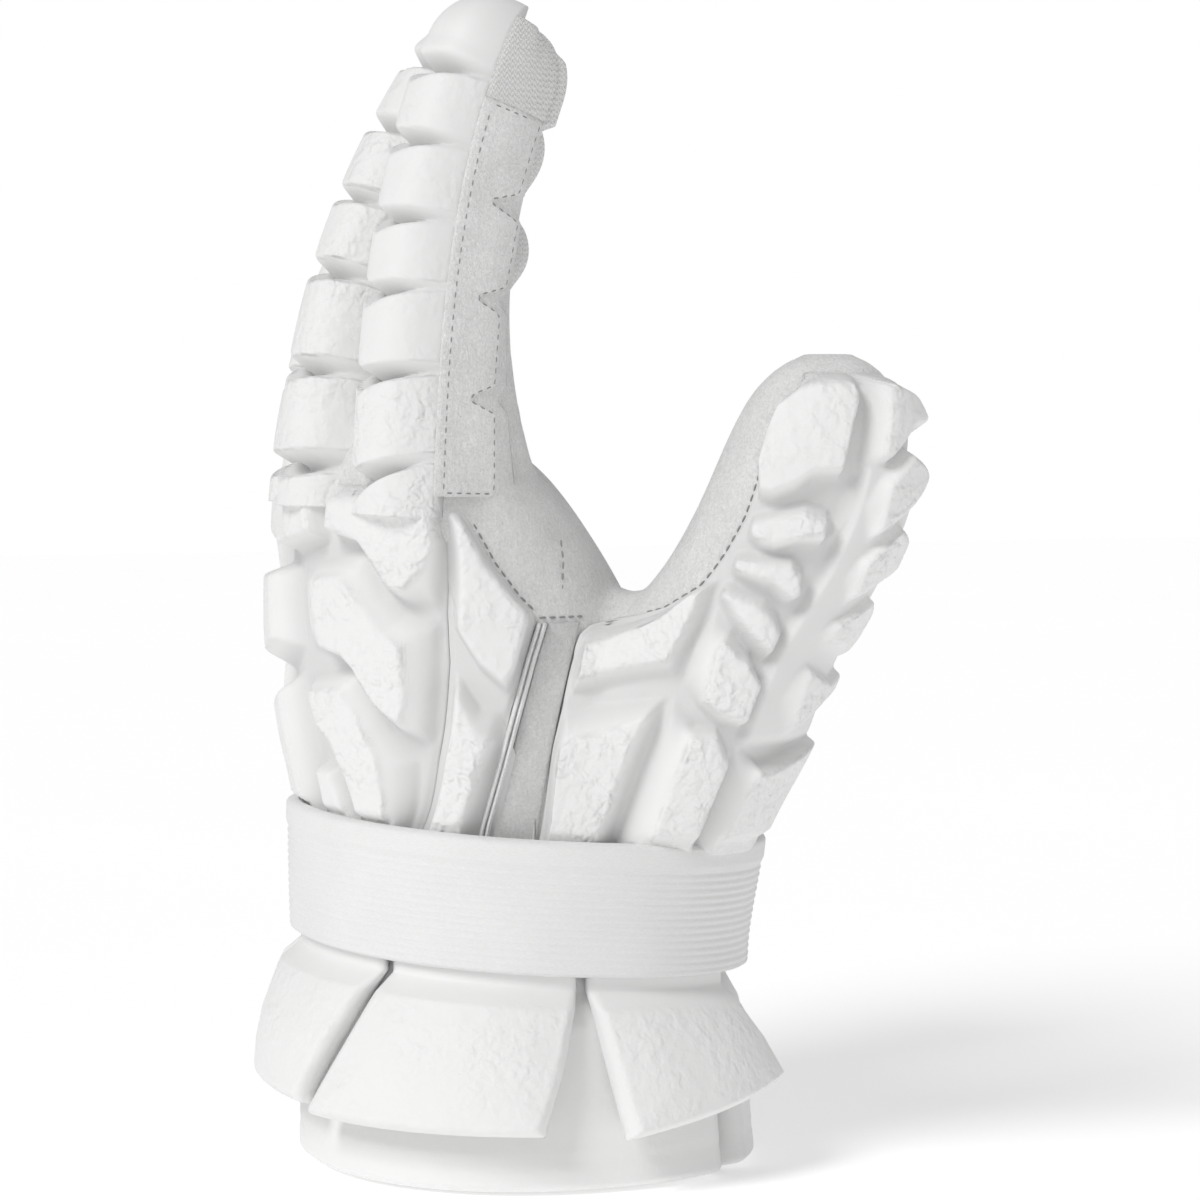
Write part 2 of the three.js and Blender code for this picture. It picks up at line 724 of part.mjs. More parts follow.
function stallTube(finger, grow) {
  return loft(stallShares.map((share) =>
    allTurns(fingerSides).map((turn) => fingerPoint(finger, turn, share, grow))));
}

// The hollow for a finger stops short of the tip by the wall.
function stallHollow(finger) {
  const tip = 1 - leather / finger.long;
  return loft(stallShares.map((share) => allTurns(fingerSides).map((turn) => {
    const wall = leather * Math.min(1, fingerNarrowing(share));
    return fingerPoint(finger, turn, share * tip, -wall);
  })));
}

function softParts() {
  const body = bodyTube(0);
  const bodyClear = bodyTube(seamGap);
  const hollow = bodyTube(-leather, bodyFoot - leather);
  const thumbHollow = sideTube(thumbSections, thumbHeight, -leather);
  const webHollow = sideTube(webSections, webHeight, -leather);
  const fingerHollows = union(fingers.map(stallHollow));
  const hollows = union([hollow, thumbHollow, webHollow, fingerHollows]);
  const thumb = sideTube(thumbSections, thumbHeight, 0).add(sideTube(webSections, webHeight, 0));
  const shell = largest(body.subtract(hollows));
  const low = strapFoot + shellSplit * strapWidth;
  const high = palmSplit * bodyHeight;
  const above = shell.trimByPlane([0, 0, 1], low + seamGap / 2);
  const made = {
    hand_shell: above.trimByPlane([0, 0, 1], high + seamGap / 2),
    palm_shell: above.trimByPlane([0, 0, -1], seamGap / 2 - high),
    wrist_shell: shell.trimByPlane([0, 0, -1], seamGap / 2 - low),
  };
  made.thumb_stall = largest(thumb.subtract(union([thumbHollow, webHollow, bodyClear])));
  for (const finger of fingers) {
    const stall = stallTube(finger, 0).subtract(stallHollow(finger)).subtract(bodyClear);
    made[`${finger.name}_stall`] = largest(stall);
  }
  return made;
}

// The outside of all the soft parts, grown by a gap.
function softOutside(gap) {
  return union([
    bodyTube(gap),
    sideTube(thumbSections, thumbHeight, gap),
    sideTube(webSections, webHeight, gap),
    ...fingers.map((finger) => stallTube(finger, gap)),
  ]);
}

// A point of a finger's foam, of a D-shaped section over the finger's middle.
function foamPoint(finger, turn, share, tall, wide, grow = 0) {
  const { middle, back, side } = fingerFrame(finger, share);
  const narrowing = 1 - 0.06 * share;
  const c = Math.cos(radians(turn));
  const s = Math.sin(radians(turn));
  const square = 2.8;
  const reach = (Math.abs(c) ** square + Math.abs(s) ** square) ** (-1 / square);
  return middle
    .addScaledVector(side, s * reach * (((fingerPadWidth / 2) * wide) * narrowing + grow))
    .addScaledVector(back, c * reach * ((fingerPadFoam + fingerDepth / 2) * tall * narrowing + grow));
}

// A finger's side: level with its foam down to the middle, then round with the finger.
function coverPoint(finger, turn, share, grow) {
  if (turn <= 90 && share < tipStart) return foamPoint(finger, turn, share, 1, 1, grow);
  return fingerPoint(finger, turn, share, (fingerPadWidth - fingerWidth) / 2 + grow);
}

// A finger's foam, whose height follows the blocks and the grooves between them. Grown, it also reaches
// past its seams.
function fingerFoam(finger, grow = 0) {
  const ramp = grooveRamp / finger.long;
  const floor = (grooveFloor + fingerDepth / 2) / (fingerPadFoam + fingerDepth / 2);
  const stations = [{ share: foamRoot, tall: floor, wide: 0.95 }];
  stations.push(...fingerBlocks.flatMap(({ from, to }) => [
    { share: from, tall: floor, wide: 0.95 },
    { share: from + ramp, tall: 1, wide: 1 },
    { share: to - ramp, tall: 1, wide: 1 },
    { share: to, tall: floor, wide: 0.95 },
  ]));
  const { from, full, end } = tipBlock;
  stations.push({ share: from, tall: floor, wide: 0.95 }, { share: full, tall: 0.95, wide: 1 });
  for (const turn of [25, 50, 75]) {
    const narrow = Math.cos(radians(turn));
    const share = full + (end - full) * Math.sin(radians(turn));
    stations.push({ share, tall: 0.95 * narrow, wide: narrow });
  }
  const past = (4 * THREE.MathUtils.radToDeg(grow)) / fingerWidth;
  return loft(stations.map(({ share, tall, wide }) =>
    range(-90 - past, finger.seam + past, 7).map((turn) => foamPoint(finger, turn, share, tall, wide, grow))));
}

function sidePatchSolid(finger, keepOut) {
  const { from, to, far, notch, notchWidth } = sidePatch;
  const edges = [{ share: from, far }];
  for (const at of sideNotches) {
    edges.push({ share: at - notchWidth, far }, { share: at, far: notch }, { share: at + notchWidth, far });
  }
  edges.push({ share: to, far });
  const layer = (grow) => edges.map((edge) =>
    range(finger.seam + patchStart, edge.far, 5).map((turn) => coverPoint(finger, turn, edge.share, grow)));
  return largest(slab(layer(-patchSkin), layer(patchSkin / 2)).subtract(keepOut));
}

function tipPatchSolid(finger, keepOut) {
  const { from, to, far } = tipPatch;
  const layer = (grow) => range(from, to, 3).map((share) =>
    range(finger.seam + 2 * patchStart, far, 7).map((turn) => coverPoint(finger, turn, share, grow)));
  return largest(slab(layer(-patchSkin), layer(patchSkin / 2)).subtract(keepOut));
}

function sideStrip(rows, low, high) {
  const layer = (grow) => rows.map((row) =>
    range(row.from, row.to, 4).map((along) =>
      aboveStrap(flatSidePoint(along * bodyWidth, row.at * bodyHeight, grow))));
  return slab(layer(low), layer(high));
}

// Rings round the wrist between two distances from the body, closed through their full turn.
function wristBand(rows) {
  const turns = allTurns(32);
  const outer = rows.map((row) => turns.map((turn) => row.place(turn, row.outer)));
  const inner = rows.map((row) => turns.map((turn) => row.place(turn, row.inner)));
  const profile = [...outer, ...inner.reverse()];
  const count = turns.length;
  const points = profile.flat();
  const faces = [];
  for (let j = 0; j < profile.length; j += 1) {
    const after = (j + 1) % profile.length;
    for (let i = 0; i < count; i += 1) {
      const next = (i + 1) % count;
      faces.push(j * count + i, j * count + next, after * count + next);
      faces.push(j * count + i, after * count + next, after * count + i);
    }
  }
  return solidOf(points, faces);
}

const sleeveStand = 2 * seamGap + sleeveTopSkin;
const tongueSeat = sleeveStand + 2 * seamGap;
const tongueStand = tongueSeat + tongueSkin;
const strapStand = tongueStand + 2 * seamGap;

function strapSolid() {
  const place = (share) => (turn, grow) => {
    const point = bodyPoint(turn, strapFoot + strapWidth * share, grow);
    point.z += strapLift(point);
    return point;
  };
  const rows = [0, 0.04, 0.35, 0.65, 0.96, 1].map((share) => ({
    place: place(share),
    inner: strapStand,
    outer: strapStand + strapSkin - (share % 1 === 0 ? 1 : 0),
  }));
  return wristBand(rows);
}

// The padded sleeve under the flaps, a C open where its ends meet on the palm side.
function sleeveSolid() {
  const shares = [
    { z: 0, outer: sleeveFoam - 2.5 },
    { z: 3, outer: sleeveFoam },
    { z: 0.55 * strapFoot, outer: sleeveFoam - 1 },
    { z: strapFoot - 6, outer: sleeveStand },
    { z: 0.5 * (strapFoot + sleeveHeight), outer: sleeveStand },
    { z: sleeveHeight, outer: sleeveStand },
  ];
  const turns = range(sleeveSplit + sleeveSplitGap, sleeveSplit - sleeveSplitGap + 360, 31);
  const layer = (growOf) => shares.map((row) => turns.map((turn) => {
    const point = bodyPoint(turn, Math.max(row.z, bodyFoot), growOf(row));
    point.z = row.z;
    return point;
  }));
  return slab(layer(() => 2 * seamGap), layer((row) => row.outer));
}

// A flap: a thin tongue under the strap that widens and thickens into a flared foam plate.
function flapSolid(flap) {
  const tongueTop = sleeveHeight - 4;
  const bend = strapFoot - 3;
  const clear = Math.max(sleeveFoam, sleeveStand) + seamGap;
  const flared = clear + flap.flare * flapFoam;
  const low = flap.low * strapFoot;
  const lowTo = flap.lowTo * strapFoot;
  const edge = 3;
  const rows = [
    { down: 0, z: tongueTop, stand: tongueSeat, thick: tongueSkin, spread: 0 },
    { down: 0.15, z: 0.5 * (tongueTop + bend), stand: tongueSeat, thick: tongueSkin, spread: 0 },
    { down: 0.3, z: bend, stand: tongueSeat, thick: tongueSkin, spread: 0.02 },
    { down: 0.45, z: bend - 5, stand: tongueSeat + 1.2, thick: flapFoam - 1.5, spread: 0.15 },
    {
      down: 0.7,
      z: 0.5 * (bend + low),
      zTo: 0.5 * (bend + lowTo),
      stand: clear - 0.6,
      thick: flapFoam,
      spread: 0.5,
    },
    { down: 0.96, z: low + edge, zTo: lowTo + edge, stand: flared, thick: flapFoam, spread: 0.95 },
    { down: 1, z: low, zTo: lowTo, stand: flared + 1.5, thick: flapFoam - edge, spread: 1 },
  ];
  const layer = (thickOf) => rows.map((row) => {
    const from = flap.topFrom + (flap.footFrom - flap.topFrom) * row.spread;
    const to = flap.topTo + (flap.footTo - flap.topTo) * row.spread;
    return range(0, 1, 7).map((across) => {
      const turn = from + (to - from) * across;
      const z = row.z + ((row.zTo ?? row.z) - row.z) * across;
      const point = bodyPoint(turn, z, row.stand + thickOf(row));
      point.z += strapLift(point) * Math.min(1, 2 - 2 * row.down);
      return point;
    });
  });
  return slab(layer(() => 0), layer((row) => row.thick));
}

function meshOf(name, solid, look) {
  const data = solid.getMesh();
  const geometry = new THREE.BufferGeometry();
  geometry.setAttribute("position", new THREE.BufferAttribute(data.vertProperties, 3));
  geometry.setIndex(new THREE.BufferAttribute(data.triVerts, 1));
  geometry.computeVertexNormals();
  const mesh = new THREE.Mesh(geometry, new THREE.MeshStandardMaterial(look));
  mesh.name = name;
  return mesh;
}

const glove = new THREE.Group();
const put = (name, solid, look) => glove.add(meshOf(name, solid, look));

for (const [name, solid] of Object.entries(softParts())) put(name, solid, suedeGrey);

const soft = softOutside(seamGap);
const onBody = {
  pointAt: (turn, height, grow) => aboveStrap(bodyPoint(turn, height, grow)),
  tall: bodyHeight,
};
const onThumb = {
  pointAt: (turn, height, grow) => aboveStrap(thumbFoamPoint(turn, height, grow)),
  tall: thumbHeight,
};
const seam = seamGap / bodyWidth;
const pipingRows = gussetRows.map((row) => ({
  at: row.at,
  from: row.from - pipingWidth / bodyWidth - seam,
  to: row.from - seam,
}));
const channelRows = gussetRows.map((row, i) => ({
  at: row.at,
  from: pipingRows[i].from - seam,
  to: row.to + seam,
}));
const aroundStrips = soft.add(sideStrip(channelRows, -2 * stripSeat, 3 * thumbFoam));
const backPanel = panel(onBody, backSheet, 10, backBlocks, backFoam, backReach, aroundStrips);
const radialPanel = panel(onBody, radialSheet, 4, radialBlocks, sideFoam, sideReach, aroundStrips);
const ulnarPanel = panel(onBody, ulnarSheet, 5, ulnarBlocks, sideFoam, backReach, soft);
const thumbPanel = panel(onThumb, thumbSheet, 8, thumbBlocks, thumbFoam, sideReach, aroundStrips);
put("back_panel", backPanel, leatherWhite);
put("radial_panel", radialPanel, leatherWhite);
put("ulnar_panel", ulnarPanel, leatherWhite);
put("thumb_panel", thumbPanel, leatherWhite);
put("gusset", largest(sideStrip(gussetRows, -stripSeat, gussetSkin).subtract(soft)), suedeGrey);
put("gusset_piping", largest(sideStrip(pipingRows, -stripSeat, pipingRise).subtract(soft)), suedeGrey);

const aroundPanels = union([
  soft,
  panelRoom(onBody, backSheet, 12),
  panelRoom(onBody, radialSheet, 5),
  panelRoom(onBody, ulnarSheet, 6),
]);
for (const finger of fingers) {
  put(`${finger.name}_pad`, largest(fingerFoam(finger).subtract(aroundPanels)), leatherWhite);
}
for (const finger of fingers) {
  const clear = soft.add(fingerFoam(finger, seamGap));
  put(`${finger.name}_tip_patch`, tipPatchSolid(finger, clear), knitGrey);
  if (finger.name === "index") put("index_side_patch", sidePatchSolid(finger, clear), suedeGrey);
}

put("wrist_strap", strapSolid(), strapWhite);
put("cuff_sleeve", sleeveSolid(), leatherWhite);
for (const flap of flaps) put(flap.name, flapSolid(flap), leatherWhite);

// The glove stands on its rim, over the origin.
const box = new THREE.Box3().setFromObject(glove);
glove.position.set(-(box.min.x + box.max.x) / 2, -(box.min.y + box.max.y) / 2, -box.min.z);

export default glove;
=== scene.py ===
import math

import bmesh
import bpy
import numpy as np
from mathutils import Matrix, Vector


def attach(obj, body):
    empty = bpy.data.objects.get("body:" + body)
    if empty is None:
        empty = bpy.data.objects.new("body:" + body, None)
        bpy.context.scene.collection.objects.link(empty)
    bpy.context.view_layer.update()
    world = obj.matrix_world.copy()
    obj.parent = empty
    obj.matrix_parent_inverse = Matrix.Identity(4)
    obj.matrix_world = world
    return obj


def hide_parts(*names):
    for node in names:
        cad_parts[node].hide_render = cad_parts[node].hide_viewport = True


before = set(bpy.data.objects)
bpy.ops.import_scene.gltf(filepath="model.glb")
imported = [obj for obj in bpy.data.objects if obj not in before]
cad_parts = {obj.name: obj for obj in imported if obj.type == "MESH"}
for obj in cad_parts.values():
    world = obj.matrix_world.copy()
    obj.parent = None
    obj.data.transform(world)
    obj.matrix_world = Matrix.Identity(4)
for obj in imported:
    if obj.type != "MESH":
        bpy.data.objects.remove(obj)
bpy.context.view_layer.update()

print("glove: surfaces")

# Sizes and tables of the glove's soft form, in millimetres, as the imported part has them.
hand = {
    "height": 202.0, "width": 112.0, "depth": 107.0, "foot": 3.0, "bluntness": 2.2,
    "thumbHeight": 220.0, "thumbWidth": 60.0, "thumbDepth": 58.0, "thumbFacing": -22.0, "webHeight": 157.0,
    "fingerWidth": 26.0, "fingerDepth": 26.0, "rootFullness": 14.0, "rootReach": 0.5,
    "palmFullness": 2.5, "tipStart": 0.85, "tipPower": 2.5, "fingerTaper": 0.07,
}

# at, x, y, wide, deep, twist: shares of the hand's height, width and depth; the twist in degrees
bodySections = np.array([
    (0.015, 0, 0, 0.975, 0.975, 0),
    (0.15, -0.003, -0.008, 0.965, 0.965, 0),
    (0.29, -0.006, -0.018, 0.955, 0.955, 0),
    (0.475, 0, 0, 1, 1, 0),
    (0.58, 0, -0.052, 1, 0.97, -1),
    (0.708, 0, -0.14, 1, 0.86, -5),
    (0.83, 0.009, -0.21, 0.99, 0.735, -9),
    (0.92, 0.009, -0.268, 0.965, 0.61, -12),
    (0.97, 0.009, -0.31, 0.91, 0.47, -12),
    (1, 0.009, -0.335, 0.8, 0.31, -12),
])

# at, along, out, wide, deep
thumbSections = np.array([
    (0.3155, 0.241, 0.14, 0.58, 0.68),
    (0.42, 0.268, 0.15, 0.58, 0.69),
    (0.482, 0.33, 0.215, 0.88, 0.98),
    (0.545, 0.366, 0.271, 1, 1),
    (0.645, 0.4375, 0.346, 1, 0.9),
    (0.7045, 0.518, 0.3925, 0.93, 0.79),
    (0.7545, 0.58, 0.43, 0.88, 0.707),
    (0.827, 0.643, 0.467, 0.83, 0.655),
    (0.8955, 0.681, 0.495, 0.757, 0.62),
    (0.9455, 0.702, 0.514, 0.65, 0.53),
    (0.982, 0.712, 0.523, 0.45, 0.37),
    (1, 0.714, 0.525, 0.22, 0.17),
])
thumbFoamFoot = np.array([(0.382, 0.268, 0.168, 0.8, 0.93), (0.441, 0.304, 0.196, 0.867, 1)])
foamSections = np.vstack([thumbFoamFoot, thumbSections[3:]])
webSections = np.array([
    (0.446, 0.125, 0.206, 0.7, 0.75),
    (0.605, 0.161, 0.262, 0.7, 0.76),
    (0.764, 0.179, 0.29, 0.867, 0.862),
    (0.879, 0.196, 0.318, 0.767, 0.69),
    (0.955, 0.223, 0.318, 0.567, 0.448),
    (1, 0.25, 0.318, 0.3, 0.207),
])

fingers = {
    "index": dict(x=0.384, y=-0.374, z=0.926, long=123, lean=2, curl=24, bend=1.8, splay=1, roll=14, seam=65),
    "middle": dict(x=0.127, y=-0.467, z=0.936, long=125, lean=1, curl=38, bend=0.9, splay=0, roll=2, seam=90),
    "ring": dict(x=-0.127, y=-0.4, z=0.926, long=115, lean=5, curl=38, bend=0.9, splay=-1, roll=-12, seam=90),
    "little": dict(x=-0.375, y=-0.3, z=0.89, long=95, lean=8, curl=38, bend=0.9, splay=-3, roll=-24, seam=90),
}


def rampUp(value, start, end):
    # 0 before the start, 1 past the end, with a soft rise between
    t = np.clip((value - start) / (end - start), 0, 1)
    return t * t * (3 - 2 * t)


def roundedRim(distance, radius):
    # 0 at an edge, 1 once a quarter round of that radius is past
    return np.sqrt(np.clip(1 - np.clip(1 - distance / radius, 0, 1) ** 2, 0, 1))


def columnsAt(rows, at):
    # every column but the first, by a cubic through the rows that never overshoots them
    x, y = rows[:, 0], rows[:, 1:]
    at = np.clip(np.asarray(at, float), x[0], x[-1])
    slope = np.diff(y, axis=0) / np.diff(x)[:, None]
    steady = np.vstack([slope[:1], np.zeros_like(slope[1:]), slope[-1:]])
    before, after = slope[:-1], slope[1:]
    same = before * after > 0
    steady[1:-1][same] = (2 * before * after)[same] / (before + after)[same]
    i = np.clip(np.searchsorted(x, at, side="right") - 1, 0, len(x) - 2)
    span = (x[i + 1] - x[i])[..., None]
    t = (at - x[i])[..., None] / span
    a, b, da, db = y[i], y[i + 1], steady[i] * span, steady[i + 1] * span
    return np.moveaxis(a + t * (da + t * (3 * (b - a) - 2 * da - db + t * (2 * (a - b) + da + db))), -1, 0)


def bluntPoint(turn, power=None):
    power = power or hand["bluntness"]
    c, s = np.cos(np.radians(turn)), np.sin(np.radians(turn))
    reach = (np.abs(c) ** power + np.abs(s) ** power) ** (-1 / power)
    return c * reach, s * reach


def bodyPoint(turn, height, grow=0.0):
    turn, height, grow = np.broadcast_arrays(turn, height, grow)
    x, y, wide, deep, twist = columnsAt(bodySections, height / hand["height"])
    c, s = bluntPoint(turn)
    u = (wide * hand["width"] / 2 + grow) * c
    v = (deep * hand["depth"] / 2 + grow) * s
    twist = np.radians(twist)
    return np.stack([
        x * hand["width"] + u * np.cos(twist) - v * np.sin(twist),
        y * hand["depth"] + u * np.sin(twist) + v * np.cos(twist),
        height.astype(float),
    ], -1)


facing = math.radians(hand["thumbFacing"])
outward = np.array([math.cos(facing), math.sin(facing), 0.0])
alongSide = np.array([-outward[1], outward[0], 0.0])


def sidePoint(along, out, height):
    along, out, height = np.broadcast_arrays(along, out, height)
    return along[..., None] * alongSide + out[..., None] * outward + height[..., None] * np.array([0, 0, 1.0])


def sideSection(rows, height, tall, grow):
    along, out, wide, deep = columnsAt(rows, np.asarray(height) / tall)
    return (along * hand["width"], out * hand["depth"], wide * hand["thumbWidth"] / 2 + grow,
            deep * hand["thumbDepth"] / 2 + grow)


def sideTubePoint(rows, tall, turn, height, grow=0.0):
    turn, height, grow = np.broadcast_arrays(turn, height, grow)
    along, out, wide, deep = sideSection(rows, height, tall, grow)
    c, s = bluntPoint(turn)
    return sidePoint(along + wide * s, out + deep * c, height)


def blend(a, b, reach=8.0):
    h = np.clip(0.5 + (a - b) / (2 * reach), 0, 1)
    return b + (a - b) * h + reach * h * (1 - h)


farInside = -50.0  # where nothing stands in the way
# where the thumb's foam starts to run into the web, and over how far, as turns
thumbJoin = {"turn": 60.0, "over": 40.0}
facingTurns = np.arange(-115, 76, 1.5)  # the turns of the hand that look to the thumb's side


def tubeOut(rows, tall, along, height, grow):
    middle, out, wide, deep = sideSection(rows, height, tall, grow)
    share = np.abs(along - middle) / wide
    power = hand["bluntness"]
    face = out + deep * (1 - np.minimum(share, 1) ** power) ** (1 / power)
    return np.where((share >= 1) | (height > tall), farInside, face)


def bodyOut(along, height, grow):
    # how far out the hand's face stands, one row of a grid at a time
    along, height, grow = (np.atleast_2d(v) for v in np.broadcast_arrays(along, height, grow))
    out = np.full(along.shape, farInside)
    for row in range(along.shape[0]):
        # a row lies at one height, or close to it
        points = bodyPoint(facingTurns, height[row].mean(), 0.0)
        a, o = points @ alongSide, points @ outward
        inside = (along[row] >= a[0]) & (along[row] <= a[-1])
        out[row, inside] = np.interp(along[row][inside], a, o)
    return out + np.where(out > farInside, grow, 0)


def thumbFoamPoint(turn, height, grow=0.0):
    turn, height, grow = (np.atleast_2d(v) for v in np.broadcast_arrays(turn, height, grow))
    point = sideTubePoint(foamSections, hand["thumbHeight"], turn, height, grow)
    along, out = point @ alongSide, point @ outward
    palm = blend(bodyOut(along, height, grow), tubeOut(webSections, hand["webHeight"], along, height, grow))
    share = np.clip((thumbJoin["turn"] - turn) / thumbJoin["over"], 0, 1)
    mixed = sidePoint(along, out + (blend(out, palm) - out) * share, height)
    return np.where((palm < farInside + 10)[..., None], point, mixed)


def flatSidePoint(along, height, grow=0.0):
    along, height, grow = (np.atleast_2d(v) for v in np.broadcast_arrays(along, height, grow))
    palm = blend(bodyOut(along, height, grow), tubeOut(webSections, hand["webHeight"], along, height, grow))
    thumb = tubeOut(foamSections, hand["thumbHeight"], along, height, grow)
    return sidePoint(along, blend(palm, thumb), height)


def fingerFrame(finger, share):
    # middle, along, back and side of a finger at shares of its length
    share = np.asarray(share, float)
    splay = math.radians(finger["splay"])

    def bendAt(s):
        return np.radians(finger["lean"] + finger["curl"] * np.maximum(np.minimum(s, 1), 0) ** finger["bend"])

    def alongAt(s):
        bend = bendAt(s)
        v = np.stack([np.full(bend.shape, math.sin(splay)), np.sin(bend), np.cos(bend)], -1)
        return v / np.linalg.norm(v, axis=-1, keepdims=True)

    steps = 24
    parts = (np.arange(steps) + 0.5) / steps
    walk = alongAt(share[..., None] * parts).sum(-2) * (share * finger["long"] / steps)[..., None]
    root = np.array([finger["x"] * hand["width"], finger["y"] * hand["depth"], finger["z"] * hand["height"]])
    along = alongAt(share)
    bend, roll = bendAt(share), math.radians(finger["roll"])
    plainBack = np.stack([np.zeros(bend.shape), -np.cos(bend), np.sin(bend)], -1)
    plainSide = np.cross(along, plainBack)
    plainSide /= np.linalg.norm(plainSide, axis=-1, keepdims=True)
    back = plainBack * math.cos(roll) + plainSide * math.sin(roll)
    side = plainSide * math.cos(roll) - plainBack * math.sin(roll)
    return root + walk, along, back, side


def fingerNarrowing(share):
    rounding = np.clip((share - hand["tipStart"]) / (1 - hand["tipStart"]), 0, 1)
    taper = 1 - hand["fingerTaper"] * np.maximum(share, 0)
    return taper * np.sqrt(np.maximum(0, 1 - rounding ** hand["tipPower"]))


def fingerPoint(finger, turn, share, grow=0.0):
    turn, share, grow = np.broadcast_arrays(turn, share, grow)
    middle, along, back, side = fingerFrame(finger, share)
    c, s = bluntPoint(turn)
    narrowing = fingerNarrowing(share)
    root = hand["rootFullness"] * np.maximum(0, 1 - np.maximum(share, 0) / hand["rootReach"]) ** 2
    full = np.where(c < 0, hand["palmFullness"] * narrowing + root, 0)
    wide = s * (hand["fingerWidth"] / 2 * narrowing + grow)
    deep = c * (hand["fingerDepth"] / 2 * narrowing + full + grow)
    return middle + wide[..., None] * side + deep[..., None] * back


fingerFoam = {
    "width": 27.6, "foam": 11.5, "square": 2.8, "narrowing": 0.06,
    "domeStart": 0.89, "domeEnd": 1.028, "domePower": 0.9, "softFrom": 82, "softTo": 100,
}


def padPoint(finger, turn, share, tall=1.0, wide=1.0, grow=0.0):
    # a finger pad's face: turns from its back towards the thumb
    turn, share, tall, wide, grow = np.broadcast_arrays(turn, share, tall, wide, grow)
    middle, along, back, side = fingerFrame(finger, share)
    c, s = bluntPoint(turn, fingerFoam["square"])
    narrowing = 1 - fingerFoam["narrowing"] * share
    full = fingerFoam["foam"] + hand["fingerDepth"] / 2
    acrossway = s * (fingerFoam["width"] / 2 * wide * narrowing + grow)
    upward = c * (full * tall * narrowing + grow)
    return middle + acrossway[..., None] * side + upward[..., None] * back


def domeNarrowing(share):
    # how the foam draws in over the fingertip
    domeLong = fingerFoam["domeEnd"] - fingerFoam["domeStart"]
    past = np.clip((share - fingerFoam["domeStart"]) / domeLong, 0, 1)
    return np.sqrt(1 - past**2) ** fingerFoam["domePower"]


def coverPoint(finger, turn, share, grow=0.0):
    # a finger's side: level with its foam down to the middle, then round with the finger
    turn, share, grow = np.broadcast_arrays(turn, share, grow)
    narrow = domeNarrowing(share)
    foam = padPoint(finger, turn, share, narrow, narrow, grow)
    overhang = (fingerFoam["width"] - hand["fingerWidth"]) / 2
    soft = fingerPoint(finger, turn, share, overhang + grow)
    return foam + (soft - foam) * rampUp(turn, fingerFoam["softFrom"], fingerFoam["softTo"])[..., None]


wristAxis = (-15.135, -1.254, 0.0)  # where the wrist's middle stands in the row's frame


def placed(points):
    return (np.asarray(points, float) + np.array(wristAxis)) / 1000


def meshPiece(name, points, faces):
    # an object from points in millimetres; faces are rows of 3 or 4 corners
    mesh = bpy.data.meshes.new(name)
    mesh.from_pydata(placed(points).tolist(), [], [list(map(int, face)) for face in faces])
    mesh.validate()
    piece = bpy.data.objects.new(name, mesh)
    bpy.context.scene.collection.objects.link(piece)
    tidyNormals(piece)
    mesh.polygons.foreach_set("use_smooth", np.ones(len(mesh.polygons), bool))
    return piece


def tidyNormals(piece):
    shape = bmesh.new()
    shape.from_mesh(piece.data)
    bmesh.ops.recalc_face_normals(shape, faces=shape.faces)
    shape.to_mesh(piece.data)
    shape.free()


def markPoints(piece, name, values):
    layer = piece.data.attributes.new(name, "FLOAT", "POINT")
    layer.data.foreach_set("value", np.asarray(values, np.float32).ravel())


def finish(piece, material, slot, *nodes, fill=None):
    piece.data.materials.clear()
    piece.data.materials.append(material)
    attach(piece, "root")
    if nodes:
        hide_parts(*nodes)


def gridFaces(rows, columns, start=0, wrap=False):
    i = np.arange(rows - 1)[:, None]
    j = np.arange(columns if wrap else columns - 1)[None, :]
    a = i * columns + j
    b = i * columns + (j + 1) % columns
    return (np.stack([a, b, b + columns, a + columns], -1).reshape(-1, 4) + start).tolist()


def tubeMesh(rings):
    # rings joined one after another and closed at both ends
    rows, columns = rings.shape[:2]
    points = rings.reshape(-1, 3)
    faces = gridFaces(rows, columns, wrap=True)
    points = np.vstack([points, rings[0].mean(0), rings[-1].mean(0)])
    for i in range(columns):
        j = (i + 1) % columns
        faces.append([len(points) - 2, j, i])
        faces.append([len(points) - 1, (rows - 1) * columns + i, (rows - 1) * columns + j])
    return points, faces


def slabPiece(name, top, under):
    # a closed slab between two grids of points of one size
    rows, columns = top.shape[:2]
    count = rows * columns
    faces = gridFaces(rows, columns) + [face[::-1] for face in gridFaces(rows, columns, count)]
    edge = [(0, j) for j in range(columns)] + [(i, columns - 1) for i in range(1, rows)]
    edge += [(rows - 1, j) for j in range(columns - 2, -1, -1)] + [(i, 0) for i in range(rows - 2, 0, -1)]
    ring = [i * columns + j for i, j in edge]
    for a, b in zip(ring, ring[1:] + ring[:1]):
        faces.append([b, a, a + count, b + count])
    return meshPiece(name, np.vstack([top.reshape(-1, 3), under.reshape(-1, 3)]), faces)


def smoothed(field, passes, wrap=False):
    # a grid of values, softened by a small bell of neighbours
    for _ in range(passes):
        for axis in (0, 1):
            around = "wrap" if wrap and axis == 1 else "edge"
            wide = np.pad(field, [(1, 1) if a == axis else (0, 0) for a in (0, 1)], mode=around)
            before = np.take(wide, range(0, field.shape[axis]), axis)
            after = np.take(wide, range(2, field.shape[axis] + 2), axis)
            field = 0.25 * before + 0.5 * field + 0.25 * after
    return field


